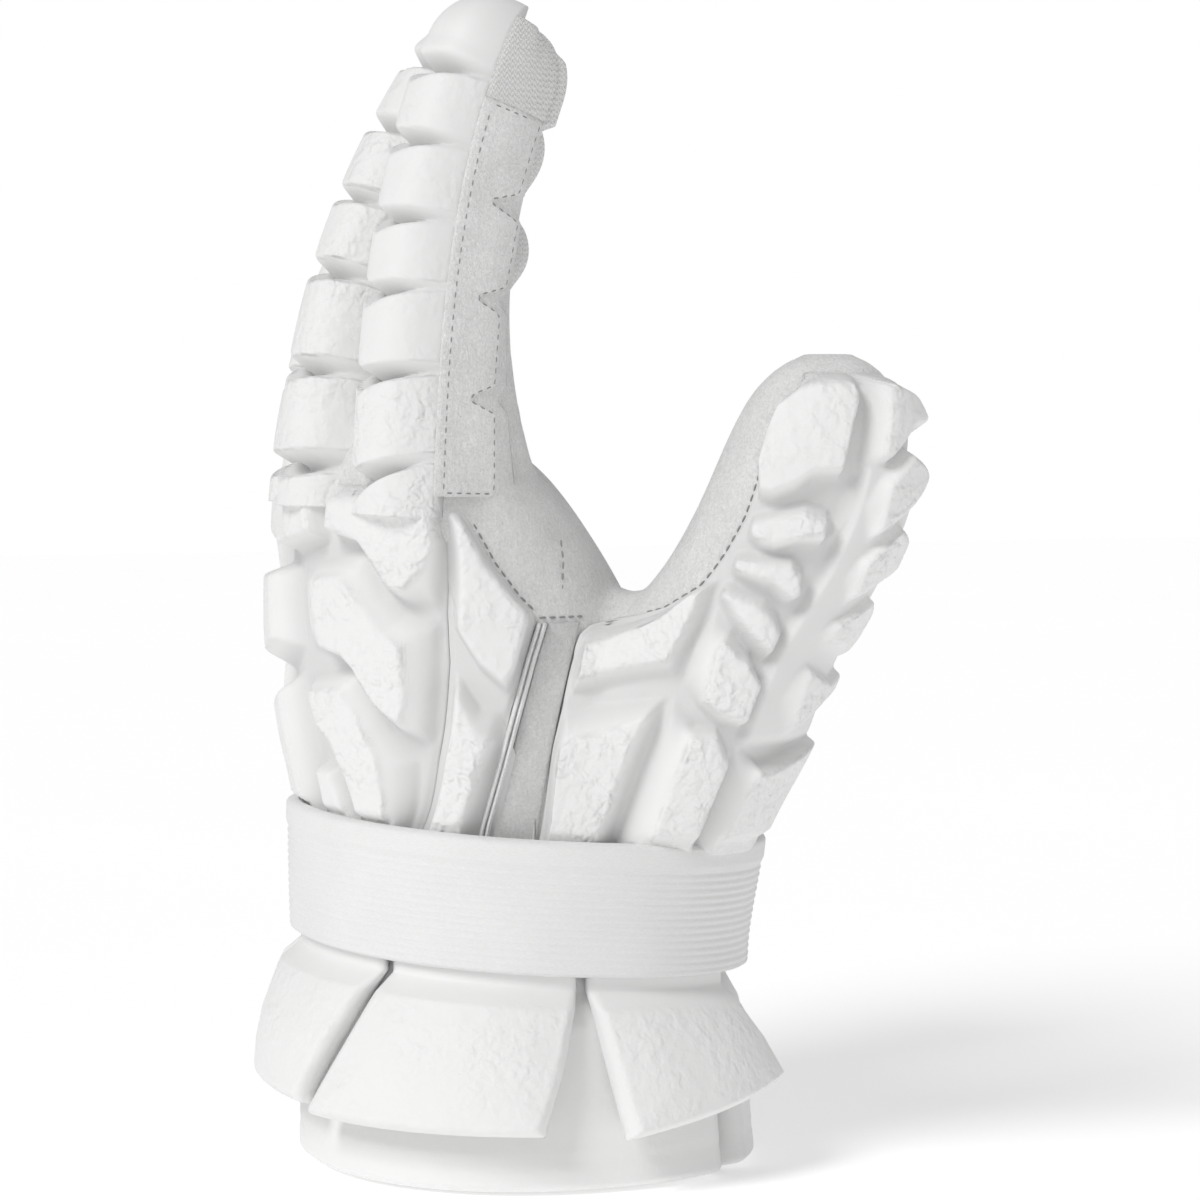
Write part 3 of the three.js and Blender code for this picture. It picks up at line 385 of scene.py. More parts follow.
def outlineDistance(x, y, corners):
    # distance to an outline's edges, positive inside it
    corners = np.asarray(corners, float)
    best = np.full(x.shape, 1e9)
    inside = np.zeros(x.shape, bool)
    for (ax, ay), (bx, by) in zip(corners, np.roll(corners, -1, 0)):
        dx, dy = bx - ax, by - ay
        t = np.clip(((x - ax) * dx + (y - ay) * dy) / (dx * dx + dy * dy), 0, 1)
        best = np.minimum(best, np.hypot(x - ax - t * dx, y - ay - t * dy))
        crosses = (ay > y) != (by > y)
        with np.errstate(divide="ignore", invalid="ignore"):
            inside ^= crosses & (x < (bx - ax) * (y - ay) / (by - ay if by != ay else 1e-9) + ax)
    return np.where(inside, best, -best)


def insetOutline(corners, amount):
    corners = np.asarray(corners, float)
    after = np.roll(corners, -1, 0)
    area = 0.5 * np.sum(corners[:, 0] * after[:, 1] - after[:, 0] * corners[:, 1])
    if area < 0:
        corners = corners[::-1]
    edge = np.roll(corners, -1, 0) - corners
    inward = np.stack([-edge[:, 1], edge[:, 0]], 1) / np.linalg.norm(edge, axis=1, keepdims=True)
    before = np.roll(inward, 1, 0)
    middle = before + inward
    middle /= np.linalg.norm(middle, axis=1, keepdims=True)
    reach = amount / np.maximum((middle * inward).sum(1), 0.5)
    return corners + middle * reach[:, None]


print("glove: finger pads")

fingerPad = {
    "root": -0.075, "outerSeam": -90.0, "seamInset": 2.0,
    "turnStep": 2.25, "rowStep": 0.0048, "domeRows": 22, "domeTurn": 88.0,
    "floor": 0.62, "lowerWall": 0.032, "upperWall": 0.009, "softening": 1, "seamFloor": 0.35,
    "crown": 0.025, "tipSink": 0.05, "underDeep": 0.9, "underColumns": 15, "underEnd": 0.985,
    "grain": 0.9, "indexGrain": 0.35, "indexRootGrain": 0.65,
}

# each groove, in shares of the finger: where the block below it ends at the ridge and at the thumb's side,
# and where the block above it starts at the two
grooves = {
    "index": [(-0.045, 0.04, 0.02, 0.062), (0.18, 0.222, 0.228, 0.252), (0.352, 0.394, 0.398, 0.413),
              (0.498, 0.531, 0.545, 0.556), (0.652, 0.684, 0.698, 0.71), (0.795, 0.83, 0.85, 0.862)],
    "other": [(-0.02, 0.0, 0.035, 0.045), (0.165, 0.185, 0.21, 0.222), (0.355, 0.372, 0.402, 0.41),
              (0.51, 0.525, 0.55, 0.556), (0.66, 0.676, 0.702, 0.71), (0.8, 0.825, 0.85, 0.86)],
}
ridges = {"index": -15.0, "middle": -10.0, "ring": -4.0, "little": 4.0}
grooveRun = {"span": 75.0, "bow": 0.85, "littleOuter": 0.6, "lowSlant": 0.075, "highSlant": 0.05}


def grooveHeights(name, turn, share):
    # 0 on a groove's floor, 1 on a block's face
    ridge = ridges[name]
    toThumb = np.clip((turn - ridge) / grooveRun["span"], 0, 1) ** grooveRun["bow"]
    toOuter = np.clip((ridge - 4 - turn) / grooveRun["span"], 0, 1)
    toSide = toThumb if name != "little" else toThumb + grooveRun["littleOuter"] * toOuter
    height = np.ones(turn.shape)
    seam = fingers[name]["seam"]
    # the groove grows shallow where it runs out at the pad's seams
    fade = fingerPad["seamFloor"] * np.maximum(rampUp(turn, seam - 14, seam), rampUp(-turn, 72, 88))
    for lowA, lowB, highA, highB in grooves.get(name, grooves["other"]):
        low = lowA + (lowB - lowA) * toSide + grooveRun["lowSlant"] * toOuter
        high = highA + (highB - highA) * toSide + grooveRun["highSlant"] * toOuter
        below = 1 - rampUp(share, low, low + fingerPad["upperWall"])
        above = np.clip((share - high) / fingerPad["lowerWall"] + 1, 0, 1)
        height = np.minimum(height, np.maximum(np.maximum(below, above), fade))
    return height


def fingerPadPiece(name):
    finger, o = fingers[name], fingerPad
    around = finger["seam"] - o["outerSeam"]
    turns = np.linspace(o["outerSeam"], finger["seam"], int(around / o["turnStep"]))
    shares = np.arange(o["root"], fingerFoam["domeStart"], o["rowStep"])
    turn, share = np.meshgrid(turns, shares)
    block = smoothed(grooveHeights(name, turn, share), o["softening"])
    tall = o["floor"] + (1 - o["floor"]) * block
    # the pad's faces are a little crowned, and pull in at the seams beside a groove
    wide = 1 - o["crown"] + o["crown"] * block
    tall = tall * (1 - o["tipSink"] * rampUp(share, 0.86, 0.9))
    top = padPoint(finger, turn, share, tall, wide)
    # a dome over the fingertip, in rows spread evenly by angle
    dome = np.radians(np.linspace(0, o["domeTurn"], o["domeRows"]))[1:]
    domeShare = fingerFoam["domeStart"] + (fingerFoam["domeEnd"] - fingerFoam["domeStart"]) * np.sin(dome)
    narrow = domeNarrowing(domeShare)[:, None]
    domeTurn, domeRow = np.meshgrid(turns, domeShare)
    top = np.vstack([top, padPoint(finger, domeTurn, domeRow, tall[-1] * narrow, wide[-1] * narrow)])
    allShares = np.concatenate([shares, domeShare])
    # the underside lies just inside the soft finger
    inset = o["seamInset"]
    underTurns = np.linspace(finger["seam"] - inset, o["outerSeam"] + inset, o["underColumns"])
    underTurn, underShare = np.meshgrid(underTurns, np.minimum(allShares, o["underEnd"]))
    underDeep = o["underDeep"] * np.minimum(1, fingerNarrowing(underShare))
    under = fingerPoint(finger, underTurn, underShare, -underDeep)
    rings = np.concatenate([top, under], 1)
    piece = meshPiece(name + "Pad", *tubeMesh(rings))
    grain = np.zeros(rings.shape[:2])
    faceMask = rampUp(block, 0.9, 1) * (1 - rampUp(share, 0.82, 0.87))
    strength = o["indexGrain"] if name == "index" else o["grain"]
    grain[: len(shares), : len(turns)] = faceMask * strength
    if name == "index":
        grain[: len(shares), : len(turns)] += faceMask * o["indexRootGrain"] * (1 - rampUp(share, 0.1, 0.3))
    # painted shade: the colour darkens in the grooves between the blocks, the deeper the groove the darker
    depth = np.zeros(rings.shape[:2])
    depth[: len(shares), : len(turns)] = 1 - block
    markPoints(piece, "grain", np.append(grain.ravel(), [0, 0]))
    markPoints(piece, "paintedShade", np.append(depth.ravel(), [0, 0]))
    return piece


print("glove: moulded panels")

strap = {"foot": 58.0, "width": 36.0, "tilt": 4.0, "high": -110.0, "stand": 7.7, "skin": 3.0,
         "tuck": 3.0}  # what tucks in under the strap
strapHigh = math.radians(strap["high"])
strapHighSide = np.array([math.cos(strapHigh), math.sin(strapHigh), 0])


def strapLift(points):
    return strap["tilt"] * (points @ strapHighSide) / (hand["width"] / 2)


panelLook = {
    "sheet": 2.0, "edge": 1.0, "edgeRamp": 2.0, "seamStart": -0.4, "under": 0.5, "faceInset": 2.6,
    "squash": 6.6, "squashFrom": 0.2, "squashTo": 3.2, "paintedShadeTop": 7.2, "paintedShadeDeep": 4.4,
    "turnStep": 0.95, "rowStep": 0.75,
}
degreeLong = 0.95  # millimetres along a panel in a degree of turn, about

# rows of a panel's sheet: height, first turn, last turn
backSheet = [(86, -152, -54.2), (96, -152, -50), (118, -152, -38.8), (140, -152, -27), (153, -152, -22.3),
             (166, -150, -16.4), (176, -142, -11.8), (181, -130, -10.5), (186, -104, -11)]
radialSheet = [(86, -54, -36.3), (96, -49.8, -34.4), (112, -41.7, -26.1), (127, -33.8, -15.7),
               (140, -26.8, -4), (150, -23.2, 5.6), (153, -22.2, 6.2), (157, -20.4, 3),
               (166, -16.3, -0.8), (176, -11.7, -1.5), (181, -10.4, -2.1)]
ulnarSheet = [(86, -207, -154), (96, -207, -153.6), (118, -207, -153.6), (140, -206, -153.6),
              (160, -200, -153.6), (174, -182, -152.6)]
thumbSheet = [(86, -70, 96), (92, -71, 98), (112, -71, 108), (128, -74.5, 112), (141, -80, 114),
              (147, -86, 116), (149, -84, 116), (150, -76, 116), (152, -56, 116), (154, -42, 116),
              (160, -30, 116), (168, -28, 114), (178, -27, 112), (190, -29, 110), (201, -32, 106),
              (208, -27, 97), (212, -18, 80), (214.5, -5, 55), (215.5, 10, 40)]

# a block's foot outline, and its face's outline where its walls are wide slopes, as turns and heights
backBlocks = {
    "knuckles": dict(
        foot=[(-51, 187), (2, 192), (-7, 176), (-22, 153), (-34, 155.5), (-38, 158), (-44, 171),
              (-56, 173)],
        face=[(-49, 185), (-33, 186), (-3, 190), (-11, 176), (-27, 163), (-33, 158.5), (-36.5, 160),
              (-42, 171.5), (-54, 174.5)],
        foam=8.6,
    ),
    "upper": dict(
        foot=[(-78, 164), (-43, 169.5), (-38, 158.5), (-34, 154.5), (-27, 151.5), (-23, 150.5),
              (-26, 146), (-40, 117.5), (-49, 121.5), (-54, 138.5), (-64, 140.5), (-78, 141)],
        face=[(-62, 161), (-50, 162), (-46, 157), (-41, 147), (-37, 144.5), (-40, 133), (-45, 124),
              (-50, 128), (-55.5, 141.5), (-63, 143.5)],
        foam=10.2,
    ),
    "lower": dict(
        foot=[(-84, 134.5), (-54, 138), (-51, 121.5), (-48, 116.5), (-46, 113.5), (-57, 84), (-66, 84),
              (-70, 105), (-72, 116), (-77, 121), (-84, 122)],
        face=[(-73, 131), (-60, 132), (-54.5, 114), (-60, 84), (-64, 84), (-67, 108), (-69.5, 118),
              (-74, 122.5)],
        foam=9.6,
    ),
    "low": dict(
        foot=[(-85, 112), (-74, 111), (-69, 96), (-67, 84), (-85, 84)],
        foam=8.6,
    ),
    "knucklesFar": dict(
        foot=[(-100, 186), (-57, 186.5), (-59.5, 171.5), (-84, 167), (-103, 170)],
        foam=8.8,
    ),
    "upperFar": dict(
        foot=[(-120, 163), (-84.5, 164), (-84.5, 141), (-108, 134), (-122, 148)],
        face=[(-114, 160), (-92, 161), (-92, 144), (-107, 139), (-116, 149)],
        foam=10.2,
    ),
    "lowerFar": dict(
        foot=[(-113, 129), (-90, 135.5), (-90, 84), (-115, 84)],
        face=[(-108, 125), (-96, 129), (-96, 84), (-109, 84)],
        foam=9.6,
    ),
    "outerHigh": dict(
        foot=[(-149, 171), (-108, 178), (-126, 150), (-150, 148)],
        face=[(-144, 167), (-117, 171.5), (-128, 153.5), (-145, 152)],
        foam=8.6,
    ),
    "outerLow": dict(
        foot=[(-150, 143), (-127, 143), (-118, 127), (-121, 84), (-150, 84)],
        face=[(-145, 139), (-130, 139), (-123, 125), (-126, 84), (-145, 84)],
        foam=8.6,
    ),
}
radialBlocks = {
    "upper": dict(
        foot=[(-8, 181), (-3, 181), (-2, 172), (-1, 163), (3, 157), (6.6, 153.5), (2, 149), (-11, 134),
              (-14, 132), (-18.5, 138), (-21.5, 149), (-16, 163)],
        face=[(-6.5, 178), (-4.5, 176), (-3.5, 168), (0.5, 156), (1, 152), (-9, 139), (-14, 135.5),
              (-17, 140), (-19.5, 149), (-14.5, 160)],
        foam=8.2,
    ),
    "lower": dict(
        foot=[(-26.5, 140), (-23.5, 128), (-16.5, 126.5), (-21, 120), (-30, 106), (-37, 84), (-53, 84),
              (-46, 98), (-29.5, 133)],
        face=[(-27.8, 132), (-27, 121), (-24, 119.5), (-29, 112), (-36, 100), (-40.5, 84), (-50, 84),
              (-43.5, 101), (-30, 128)],
        foam=8.2,
    ),
}
ulnarBlocks = {
    "upper": dict(
        foot=[(-203, 141), (-196, 162), (-176, 173), (-157, 171), (-157, 144), (-180, 136)],
        foam=7.6,
    ),
    "lower": dict(
        foot=[(-204, 132), (-181, 130), (-157, 137), (-157, 84), (-204, 84)],
        foam=7.6,
    ),
}
thumbBlocks = {
    "webSide": dict(
        foot=[(-81, 147), (-60, 149.5), (-48, 151), (-38, 153.5), (-29.5, 160.5), (-23, 161.5),
              (-20, 158), (-14, 148), (-12, 137.5), (-25, 136), (-50, 132.5), (-72, 131.5), (-77, 140)],
        face=[(-77, 144.5), (-60, 146.5), (-48, 147), (-36, 150), (-27, 158), (-24, 158), (-21, 154),
              (-17, 147), (-16, 141), (-26, 140), (-50, 137), (-71, 136), (-74, 141)],
        foam=7.0,
    ),
    "cuffSide": dict(
        foot=[(-72, 127), (-50, 128.5), (-12, 131), (-22, 84), (-67, 84)],
        face=[(-67, 118), (-50, 119), (-30, 122), (-16.5, 126), (-25, 84), (-63, 84)],
        foam=7.4,
    ),
    "middle": dict(
        foot=[(-9, 131.5), (5, 123.5), (16, 122.5), (26, 115), (25.5, 84), (-18, 84)],
        face=[(4.5, 120.5), (15, 120), (23.5, 113), (23, 84), (2.5, 84)],
        foam=9.2,
    ),
    "upper": dict(
        foot=[(-14, 155.5), (17, 142.5), (27.5, 135.5), (27, 122.5), (16, 124), (-7, 134)],
        face=[(1, 146.5), (16, 140.5), (25.5, 134), (25, 124.5), (16, 126), (5, 130)],
        foam=9.0,
    ),
    "outerLow": dict(
        foot=[(27.5, 119), (44, 112.5), (88, 121), (93, 110), (90, 84), (27, 84)],
        face=[(40, 110.5), (46, 110), (82, 117), (86, 108), (84, 84), (38, 84)],
        foam=8.8,
    ),
    "outerFourth": dict(
        foot=[(28.5, 136), (46, 141.5), (70, 137), (88, 140), (84, 131), (69, 126), (51, 118.5),
              (28.5, 122.5)],
        face=[(46, 137), (68, 133), (82, 135.5), (79, 131), (66, 128.5), (50, 122)],
        foam=8.8,
    ),
    "outerThird": dict(
        foot=[(28.5, 152.5), (50, 152), (66, 158.5), (88, 153), (88, 144), (70, 139), (49, 143.5),
              (30, 140)],
        face=[(48, 149.5), (67, 155.5), (83, 151), (83, 145.5), (70, 141.5), (50, 145.5)],
        foam=8.8,
    ),
    "outerSecond": dict(
        foot=[(26, 169), (40, 169), (60, 177.5), (85, 173), (85, 162), (64, 158.5), (50, 154.5),
              (27, 157)],
        face=[(44, 166), (60, 174.5), (80, 171), (80, 163.5), (63, 161), (48, 156.5)],
        foam=8.8,
    ),
    "outerFirst": dict(
        foot=[(21.5, 187.5), (54, 197), (90, 190.5), (90, 185), (69, 180), (43, 170.5), (22, 171)],
        face=[(41, 186), (54, 193.5), (84, 188), (68, 182.5), (43, 173.5)],
        foam=8.8,
    ),
    "leftFourth": dict(
        foot=[(-14, 156.5), (-19, 161.5), (-6, 159), (7, 157), (18, 153), (25, 149), (27, 140.5),
              (19, 142.5)],
        face=[(-11, 157), (-15, 159.5), (-5, 157.5), (7, 155), (17, 151), (23.5, 147.5), (25, 142.5),
              (19, 144.5)],
        foam=7.6,
    ),
    "leftThird": dict(
        foot=[(-20, 165), (-22, 169), (9, 167.5), (17, 164.5), (24, 157), (17, 155.3), (5, 159.2),
              (-15, 162.5)],
        face=[(-16, 165), (-17, 167), (9, 165.5), (16, 162.5), (21.5, 157.5), (17, 157), (6, 161.2),
              (-12, 164)],
        foam=7.6,
    ),
    "leftSecond": dict(
        foot=[(-20, 172.5), (-23, 178.5), (4, 181.5), (17, 179.5), (20.5, 170.3), (8, 170.5), (-3, 169),
              (-11, 169.8)],
        face=[(-16, 173.5), (-18, 176.5), (4, 179), (15.5, 177), (18, 172), (8, 172.6), (-3, 171),
              (-10, 171.8)],
        foam=7.8,
    ),
    "tipLeft": dict(
        foot=[(-32, 202), (-30, 209), (-20, 215.5), (8, 216.5), (18, 216.5), (21.5, 211), (18.5, 203),
              (18, 188), (3, 187.8), (-4, 184), (-15, 181.8), (-22, 181.8), (-30, 190)],
        face=[(-27, 201), (-26, 207), (-17, 212.5), (8, 213), (15, 212.5), (18, 209), (15.5, 202),
              (15, 190.5), (2, 190.5), (-6, 187), (-15, 185), (-21, 185.5), (-26, 192)],
        foam=7.8,
    ),
    "tipRight": dict(
        foot=[(25.5, 216), (60, 213), (84, 204), (80, 199), (54, 198.5), (40, 190), (26, 189)],
        face=[(36, 213), (58, 209.5), (74, 203), (54, 201.5), (41, 194), (35, 194)],
        foam=8.0,
    ),
}


def blockHeights(turn, height, blocks, sheet):
    # how high the foam stands over a face, and where it is a block's face
    x = turn * degreeLong
    total, faces = np.full(turn.shape, sheet), np.zeros(turn.shape)
    for shape in blocks.values():
        foot = [(a * degreeLong, b) for a, b in shape["foot"]]
        face = insetOutline(foot, panelLook["faceInset"])
        if "face" in shape:
            face = [(a * degreeLong, b) for a, b in shape["face"]]
        inFoot = outlineDistance(x, height, foot)
        offFace = -outlineDistance(x, height, face)
        share = np.where(inFoot > 0, inFoot / np.maximum(inFoot + np.maximum(offFace, 0), 1e-6), 0)
        total = np.maximum(total, sheet + (shape["foam"] - sheet) * np.minimum(share, 1))
        faces = np.maximum(faces, rampUp(share, 0.9, 1))
    return total, faces


def panelPiece(name, pointAt, rows, blocks, anchor, seamWalk, valley=None):
    o = panelLook
    table = np.array(rows, float)
    heights = np.arange(table[0, 0], table[-1, 0] + 0.01, o["rowStep"])
    first = np.interp(heights, table[:, 0], table[:, 1])
    last = np.interp(heights, table[:, 0], table[:, 2])
    # columns spread from an anchor, so that a steep edge doesn't drag the others along
    toAnchor = int((anchor - first).max() / o["turnStep"])
    past = np.linspace(0, 1, int((last - anchor).max() / o["turnStep"]))[1:]
    turn = np.hstack([first[:, None] + (anchor - first)[:, None] * np.linspace(0, 1, toAnchor),
                      anchor + (last - anchor)[:, None] * past])
    height = np.repeat(heights[:, None], turn.shape[1], 1)
    stand, faces = blockHeights(turn, height, blocks, o["sheet"])
    if valley:
        # outside these blocks the foam between them stands higher
        soft = valley["soft"]
        inside = rampUp(turn, valley["from"], valley["from"] + 2 * soft)
        inside = inside * rampUp(height, valley["foot"] - soft, valley["foot"] + soft)
        inside = inside * rampUp(-height, -valley["top"] - soft, soft - valley["top"])
        stand = np.maximum(stand, o["sheet"] + (valley["foam"] - o["sheet"]) * inside)
    # the sheet thins towards its seam
    fromSide = np.minimum(turn - first[:, None], last[:, None] - turn) * degreeLong
    fromEnd = heights[-1] - height
    toSeam = np.minimum(fromSide, fromEnd)
    edge = rampUp(toSeam, 0, o["edgeRamp"])
    foamWalk = rampUp(toSeam, o["seamStart"], seamWalk)
    stand = np.where(stand > o["sheet"] + 0.01, o["edge"] + (stand - o["edge"]) * foamWalk,
                     o["edge"] + (o["sheet"] - o["edge"]) * edge)
    stand = smoothed(stand, 1)
    ground = pointAt(turn, height, 0.0)
    strapTop = strap["foot"] + strap["width"] + strapLift(ground)
    free = rampUp(height - strapTop, o["squashFrom"], o["squashTo"])
    # under the strap the foam is pressed flat
    stand = np.where(stand > o["squash"], o["squash"] + (stand - o["squash"]) * free, stand)
    top = pointAt(turn, height, stand)
    under = pointAt(turn, height, -o["under"])
    lowest = strapTop - strap["tuck"]
    for grid in (top, under):
        grid[..., 2] = np.maximum(grid[..., 2], lowest)
    keep = np.where((height >= lowest - o["rowStep"]).any(1))[0][0]
    piece = slabPiece(name, top[keep:], under[keep:])
    grain = np.concatenate([smoothed(faces, 1)[keep:].ravel(), np.zeros(faces[keep:].size)])
    markPoints(piece, "grain", grain)
    # painted shade: the colour darkens where the foam stands low, on the blocks' slopes and in the valleys
    # between them
    low = np.clip((o["paintedShadeTop"] - stand) / o["paintedShadeDeep"], 0, 1)
    markPoints(piece, "paintedShade", np.concatenate([low[keep:].ravel(), np.zeros(low[keep:].size)]))
    return piece


print("glove: soft shell")

shell = {
    "voxel": 2.2, "wall": 1.9, "bodyStep": 5, "fingerStep": 8, "heightStep": 2.5, "smooth": 4, "footCut": 3.5,
}


def softShell():
    # the lining and suede of the hand, thumb and fingers in one
    o = shell
    turns = np.arange(-180, 180, o["bodyStep"])
    parts = []
    top = hand["height"]
    heights = np.append(np.arange(hand["foot"], top - 4, o["heightStep"]), top * np.array([0.985, 0.995, 1]))
    t, z = np.meshgrid(turns, heights)
    parts.append(tubeMesh(bodyPoint(t, z)))
    for rows, tall in ((thumbSections, hand["thumbHeight"]), (webSections, hand["webHeight"])):
        lower = np.arange(rows[0, 0] * tall, tall - 3, o["heightStep"])
        heights = np.append(lower, tall * np.array([0.985, 0.993, 1]))
        t, z = np.meshgrid(turns, heights)
        parts.append(tubeMesh(sideTubePoint(rows, tall, t, z)))
    shares = np.append(np.arange(-0.12, 0.9, 0.02), [0.91, 0.93, 0.95, 0.965, 0.98, 0.99, 0.996])
    for finger in fingers.values():
        t, s = np.meshgrid(np.arange(-180, 180, o["fingerStep"]), shares)
        parts.append(tubeMesh(fingerPoint(finger, t, s)))
    points, faces, start = [], [], 0
    for p, f in parts:
        points.append(p)
        faces += [[c + start for c in face] for face in f]
        start += len(p)
    piece = meshPiece("softShell", np.vstack(points), faces)
    remesh = piece.modifiers.new("union", "REMESH")
    remesh.mode = "VOXEL"
    remesh.voxel_size = o["voxel"] / 1000
    soften = piece.modifiers.new("soften", "SMOOTH")
    soften.factor, soften.iterations = 0.5, o["smooth"]
    applyModifiers(piece)
    openCuff(piece)
    wall = piece.modifiers.new("wall", "SOLIDIFY")
    wall.thickness, wall.offset, wall.use_rim = o["wall"] / 1000, -1, True
    applyModifiers(piece)
    piece.data.polygons.foreach_set("use_smooth", np.ones(len(piece.data.polygons), bool))
    return piece


def applyModifiers(piece):
    view = bpy.context.evaluated_depsgraph_get()
    mesh = bpy.data.meshes.new_from_object(piece.evaluated_get(view))
    piece.modifiers.clear()
    piece.data = mesh


def openCuff(piece):
    # the shell's flat foot is where the hand goes in
    shape = bmesh.new()
    shape.from_mesh(piece.data)
    lowest = min(v.co.z for v in shape.verts)
    cut = lowest + shell["footCut"] / 1000
    foot = [f for f in shape.faces if f.calc_center_median().z < cut]
    bmesh.ops.delete(shape, geom=foot, context="FACES")
    shape.to_mesh(piece.data)
    shape.free()


print("glove: strips and patches")

strips = {
    "gussetStand": 1.1, "gussetDip": 0.5, "rowStep": 0.8, "seat": 2.5,
    "pipingStand": 3.4, "pipingFoot": 1.2, "pipingWidth": 2.6, "pipingOff": 0.4, "pipingOver": 0.2,
}

# the gusset's edges along the thumb side, by height
gussetRows = [(86, -9.7, 3.2), (97, -7.6, 4.6), (112, -3.4, 7.0), (127, 0.6, 10.0), (141, 4.4, 13.2),
              (150, 7.2, 15.4)]


def sideStripPiece(name, rows, standOf, columns):
    table = np.array(rows, float)
    heights = np.arange(table[0, 0], table[-1, 0] + 0.01, strips["rowStep"])
    first = np.interp(heights, table[:, 0], table[:, 1])[:, None]
    last = np.interp(heights, table[:, 0], table[:, 2])[:, None]
    share = np.linspace(0, 1, columns)[None, :]
    along = first + (last - first) * share
    height = np.repeat(heights[:, None], columns, 1)
    ground = flatSidePoint(along, height, 0.0)
    lowest = strap["foot"] + strap["width"] + strapLift(ground) - strap["tuck"]
    top = flatSidePoint(along, height, standOf(share, heights[:, None]) + 0 * along)
    under = flatSidePoint(along, height, -strips["seat"])
    for grid in (top, under):
        grid[..., 2] = np.maximum(grid[..., 2], lowest)
    keep = np.where((height >= lowest - strips["rowStep"]).any(1))[0][0]
    return slabPiece(name, top[keep:], under[keep:])


patchLook = {"under": 0.8, "seamRoom": 2.0, "rimStart": -0.3}


def patchPiece(name, finger, shares, near, far, stand, columns, rimSoft=1.2):
    # a skin over a finger's side; near and far are turns along the shares
    share = np.repeat(shares[:, None], columns, 1)
    turn = near[:, None] + (far - near)[:, None] * np.linspace(0, 1, columns)[None, :]
    reach = math.radians(hand["fingerWidth"] / 2)
    # the near edge meets the foam's seam
    fromEdge = np.minimum(patchLook["seamRoom"] + turn - near[:, None], far[:, None] - turn) * reach
    fromEnd = np.minimum(share - shares[0], shares[-1] - share) * finger["long"]
    rise = rampUp(np.minimum(fromEdge, fromEnd), patchLook["rimStart"], rimSoft)
    top = coverPoint(finger, turn, share, stand * rise)
    return slabPiece(name, top, coverPoint(finger, turn, share, -patchLook["under"]))


stitch = {"long": 2.0, "gap": 0.9, "thick": 0.55, "sink": 0.12, "dip": 0.28, "sides": 6}
# along a stitch: the share of its length, and of its thickness there
stitchProfile = [(0.0, 0.25), (0.15, 0.8), (0.5, 1.0), (0.85, 0.8), (1.0, 0.25)]


def stitchesAlong(path, normals):
    # short thread lengths, each a small capsule lying on the face
    o, sides = stitch, stitch["sides"]
    steps = np.linalg.norm(np.diff(path, axis=0), axis=1)
    reach = np.concatenate([[0], np.cumsum(steps)])
    starts = np.arange(o["gap"], reach[-1] - o["long"], o["long"] + o["gap"])

    def at(s, grid):
        return np.stack([np.interp(s, reach, grid[:, k]) for k in range(3)], -1)

    points, faces = [], []
    for start in starts:
        a, b = at(start, path), at(start + o["long"], path)
        along = (b - a) / np.linalg.norm(b - a)
        up = at(start + o["long"] / 2, normals)
        up = up - along * (up @ along)
        up /= np.linalg.norm(up)
        side = np.cross(along, up)
        base = len(points)
        for share, size in stitchProfile:
            centre = a + (b - a) * share - up * (o["sink"] + o["dip"] * (1 - size))
            for k in range(sides):
                angle = 2 * math.pi * k / sides
                outward = side * math.cos(angle) + up * math.sin(angle)
                points.append(centre + outward * o["thick"] / 2 * size)
        for j in range(len(stitchProfile) - 1):
            for k in range(sides):
                p, q = base + j * sides + k, base + j * sides + (k + 1) % sides
                faces.append([p, q, q + sides, p + sides])
        faces.append([base + k for k in reversed(range(sides))])
        lastRing = base + (len(stitchProfile) - 1) * sides
        faces.append([lastRing + k for k in range(sides)])
    return points, faces


def stitchPiece(name, runs):
    points, faces = [], []
    for path, normals in runs:
        p, f = stitchesAlong(path, normals)
        faces += [[c + len(points) for c in face] for face in f]
        points += p
    return meshPiece(name, np.array(points), faces)


def surfaceRun(pointAt, a, b, stand):
    # a line of points on a face and the face's directions there
    path = pointAt(a, b, stand).reshape(-1, 3)
    lifted = pointAt(a, b, stand + 1.0).reshape(-1, 3)
    return path, lifted - path


print("glove: strap and cuff")

strapLook = {
    "ribs": 15, "ribRise": 0.34, "lip": 0.17, "lipRamp": 0.03, "lipRise": 0.35, "round": 1.6, "rimSkin": 0.3,
    "wave": 0.25, "waves": 3, "waveStart": 40.0, "turnStep": 1.5, "rowStep": 0.45,
}


def strapPiece():
    o = strapLook
    turns = np.arange(-180, 180, o["turnStep"])
    heights = np.arange(0, strap["width"] + 0.01, o["rowStep"])
    turn, up = np.meshgrid(turns, heights)
    share = up / strap["width"]
    lip = rampUp(share, 1 - o["lip"] - o["lipRamp"], 1 - o["lip"])
    ribs = 0.5 + 0.5 * np.cos(2 * math.pi * o["ribs"] * share / (1 - o["lip"]))
    fromEdge = np.minimum(up, strap["width"] - up)
    rim = roundedRim(fromEdge, o["round"])
    wave = o["wave"] * np.sin(np.radians(o["waves"] * turn + o["waveStart"])) * np.sin(math.pi * share)
    stand = strap["stand"] + o["rimSkin"] + (strap["skin"] - o["rimSkin"]) * rim + wave
    stand = stand - o["ribRise"] * ribs * (1 - lip) * rim + o["lipRise"] * lip * rim

    def ring(grow):
        points = bodyPoint(turn, strap["foot"] + up, grow)
        points[..., 2] += strapLift(points)
        return points

    outer, inner = ring(stand), ring(strap["stand"] + 0 * turn)
    rows, columns = outer.shape[:2]
    count = rows * columns
    faces = gridFaces(rows, columns, wrap=True)
    faces += [face[::-1] for face in gridFaces(rows, columns, count, wrap=True)]
    for row in (0, rows - 1):
        for j in range(columns):
            a, b = row * columns + j, row * columns + (j + 1) % columns
            faces.append([b, a, a + count, b + count])
    return meshPiece("wristStrap", np.vstack([outer.reshape(-1, 3), inner.reshape(-1, 3)]), faces)


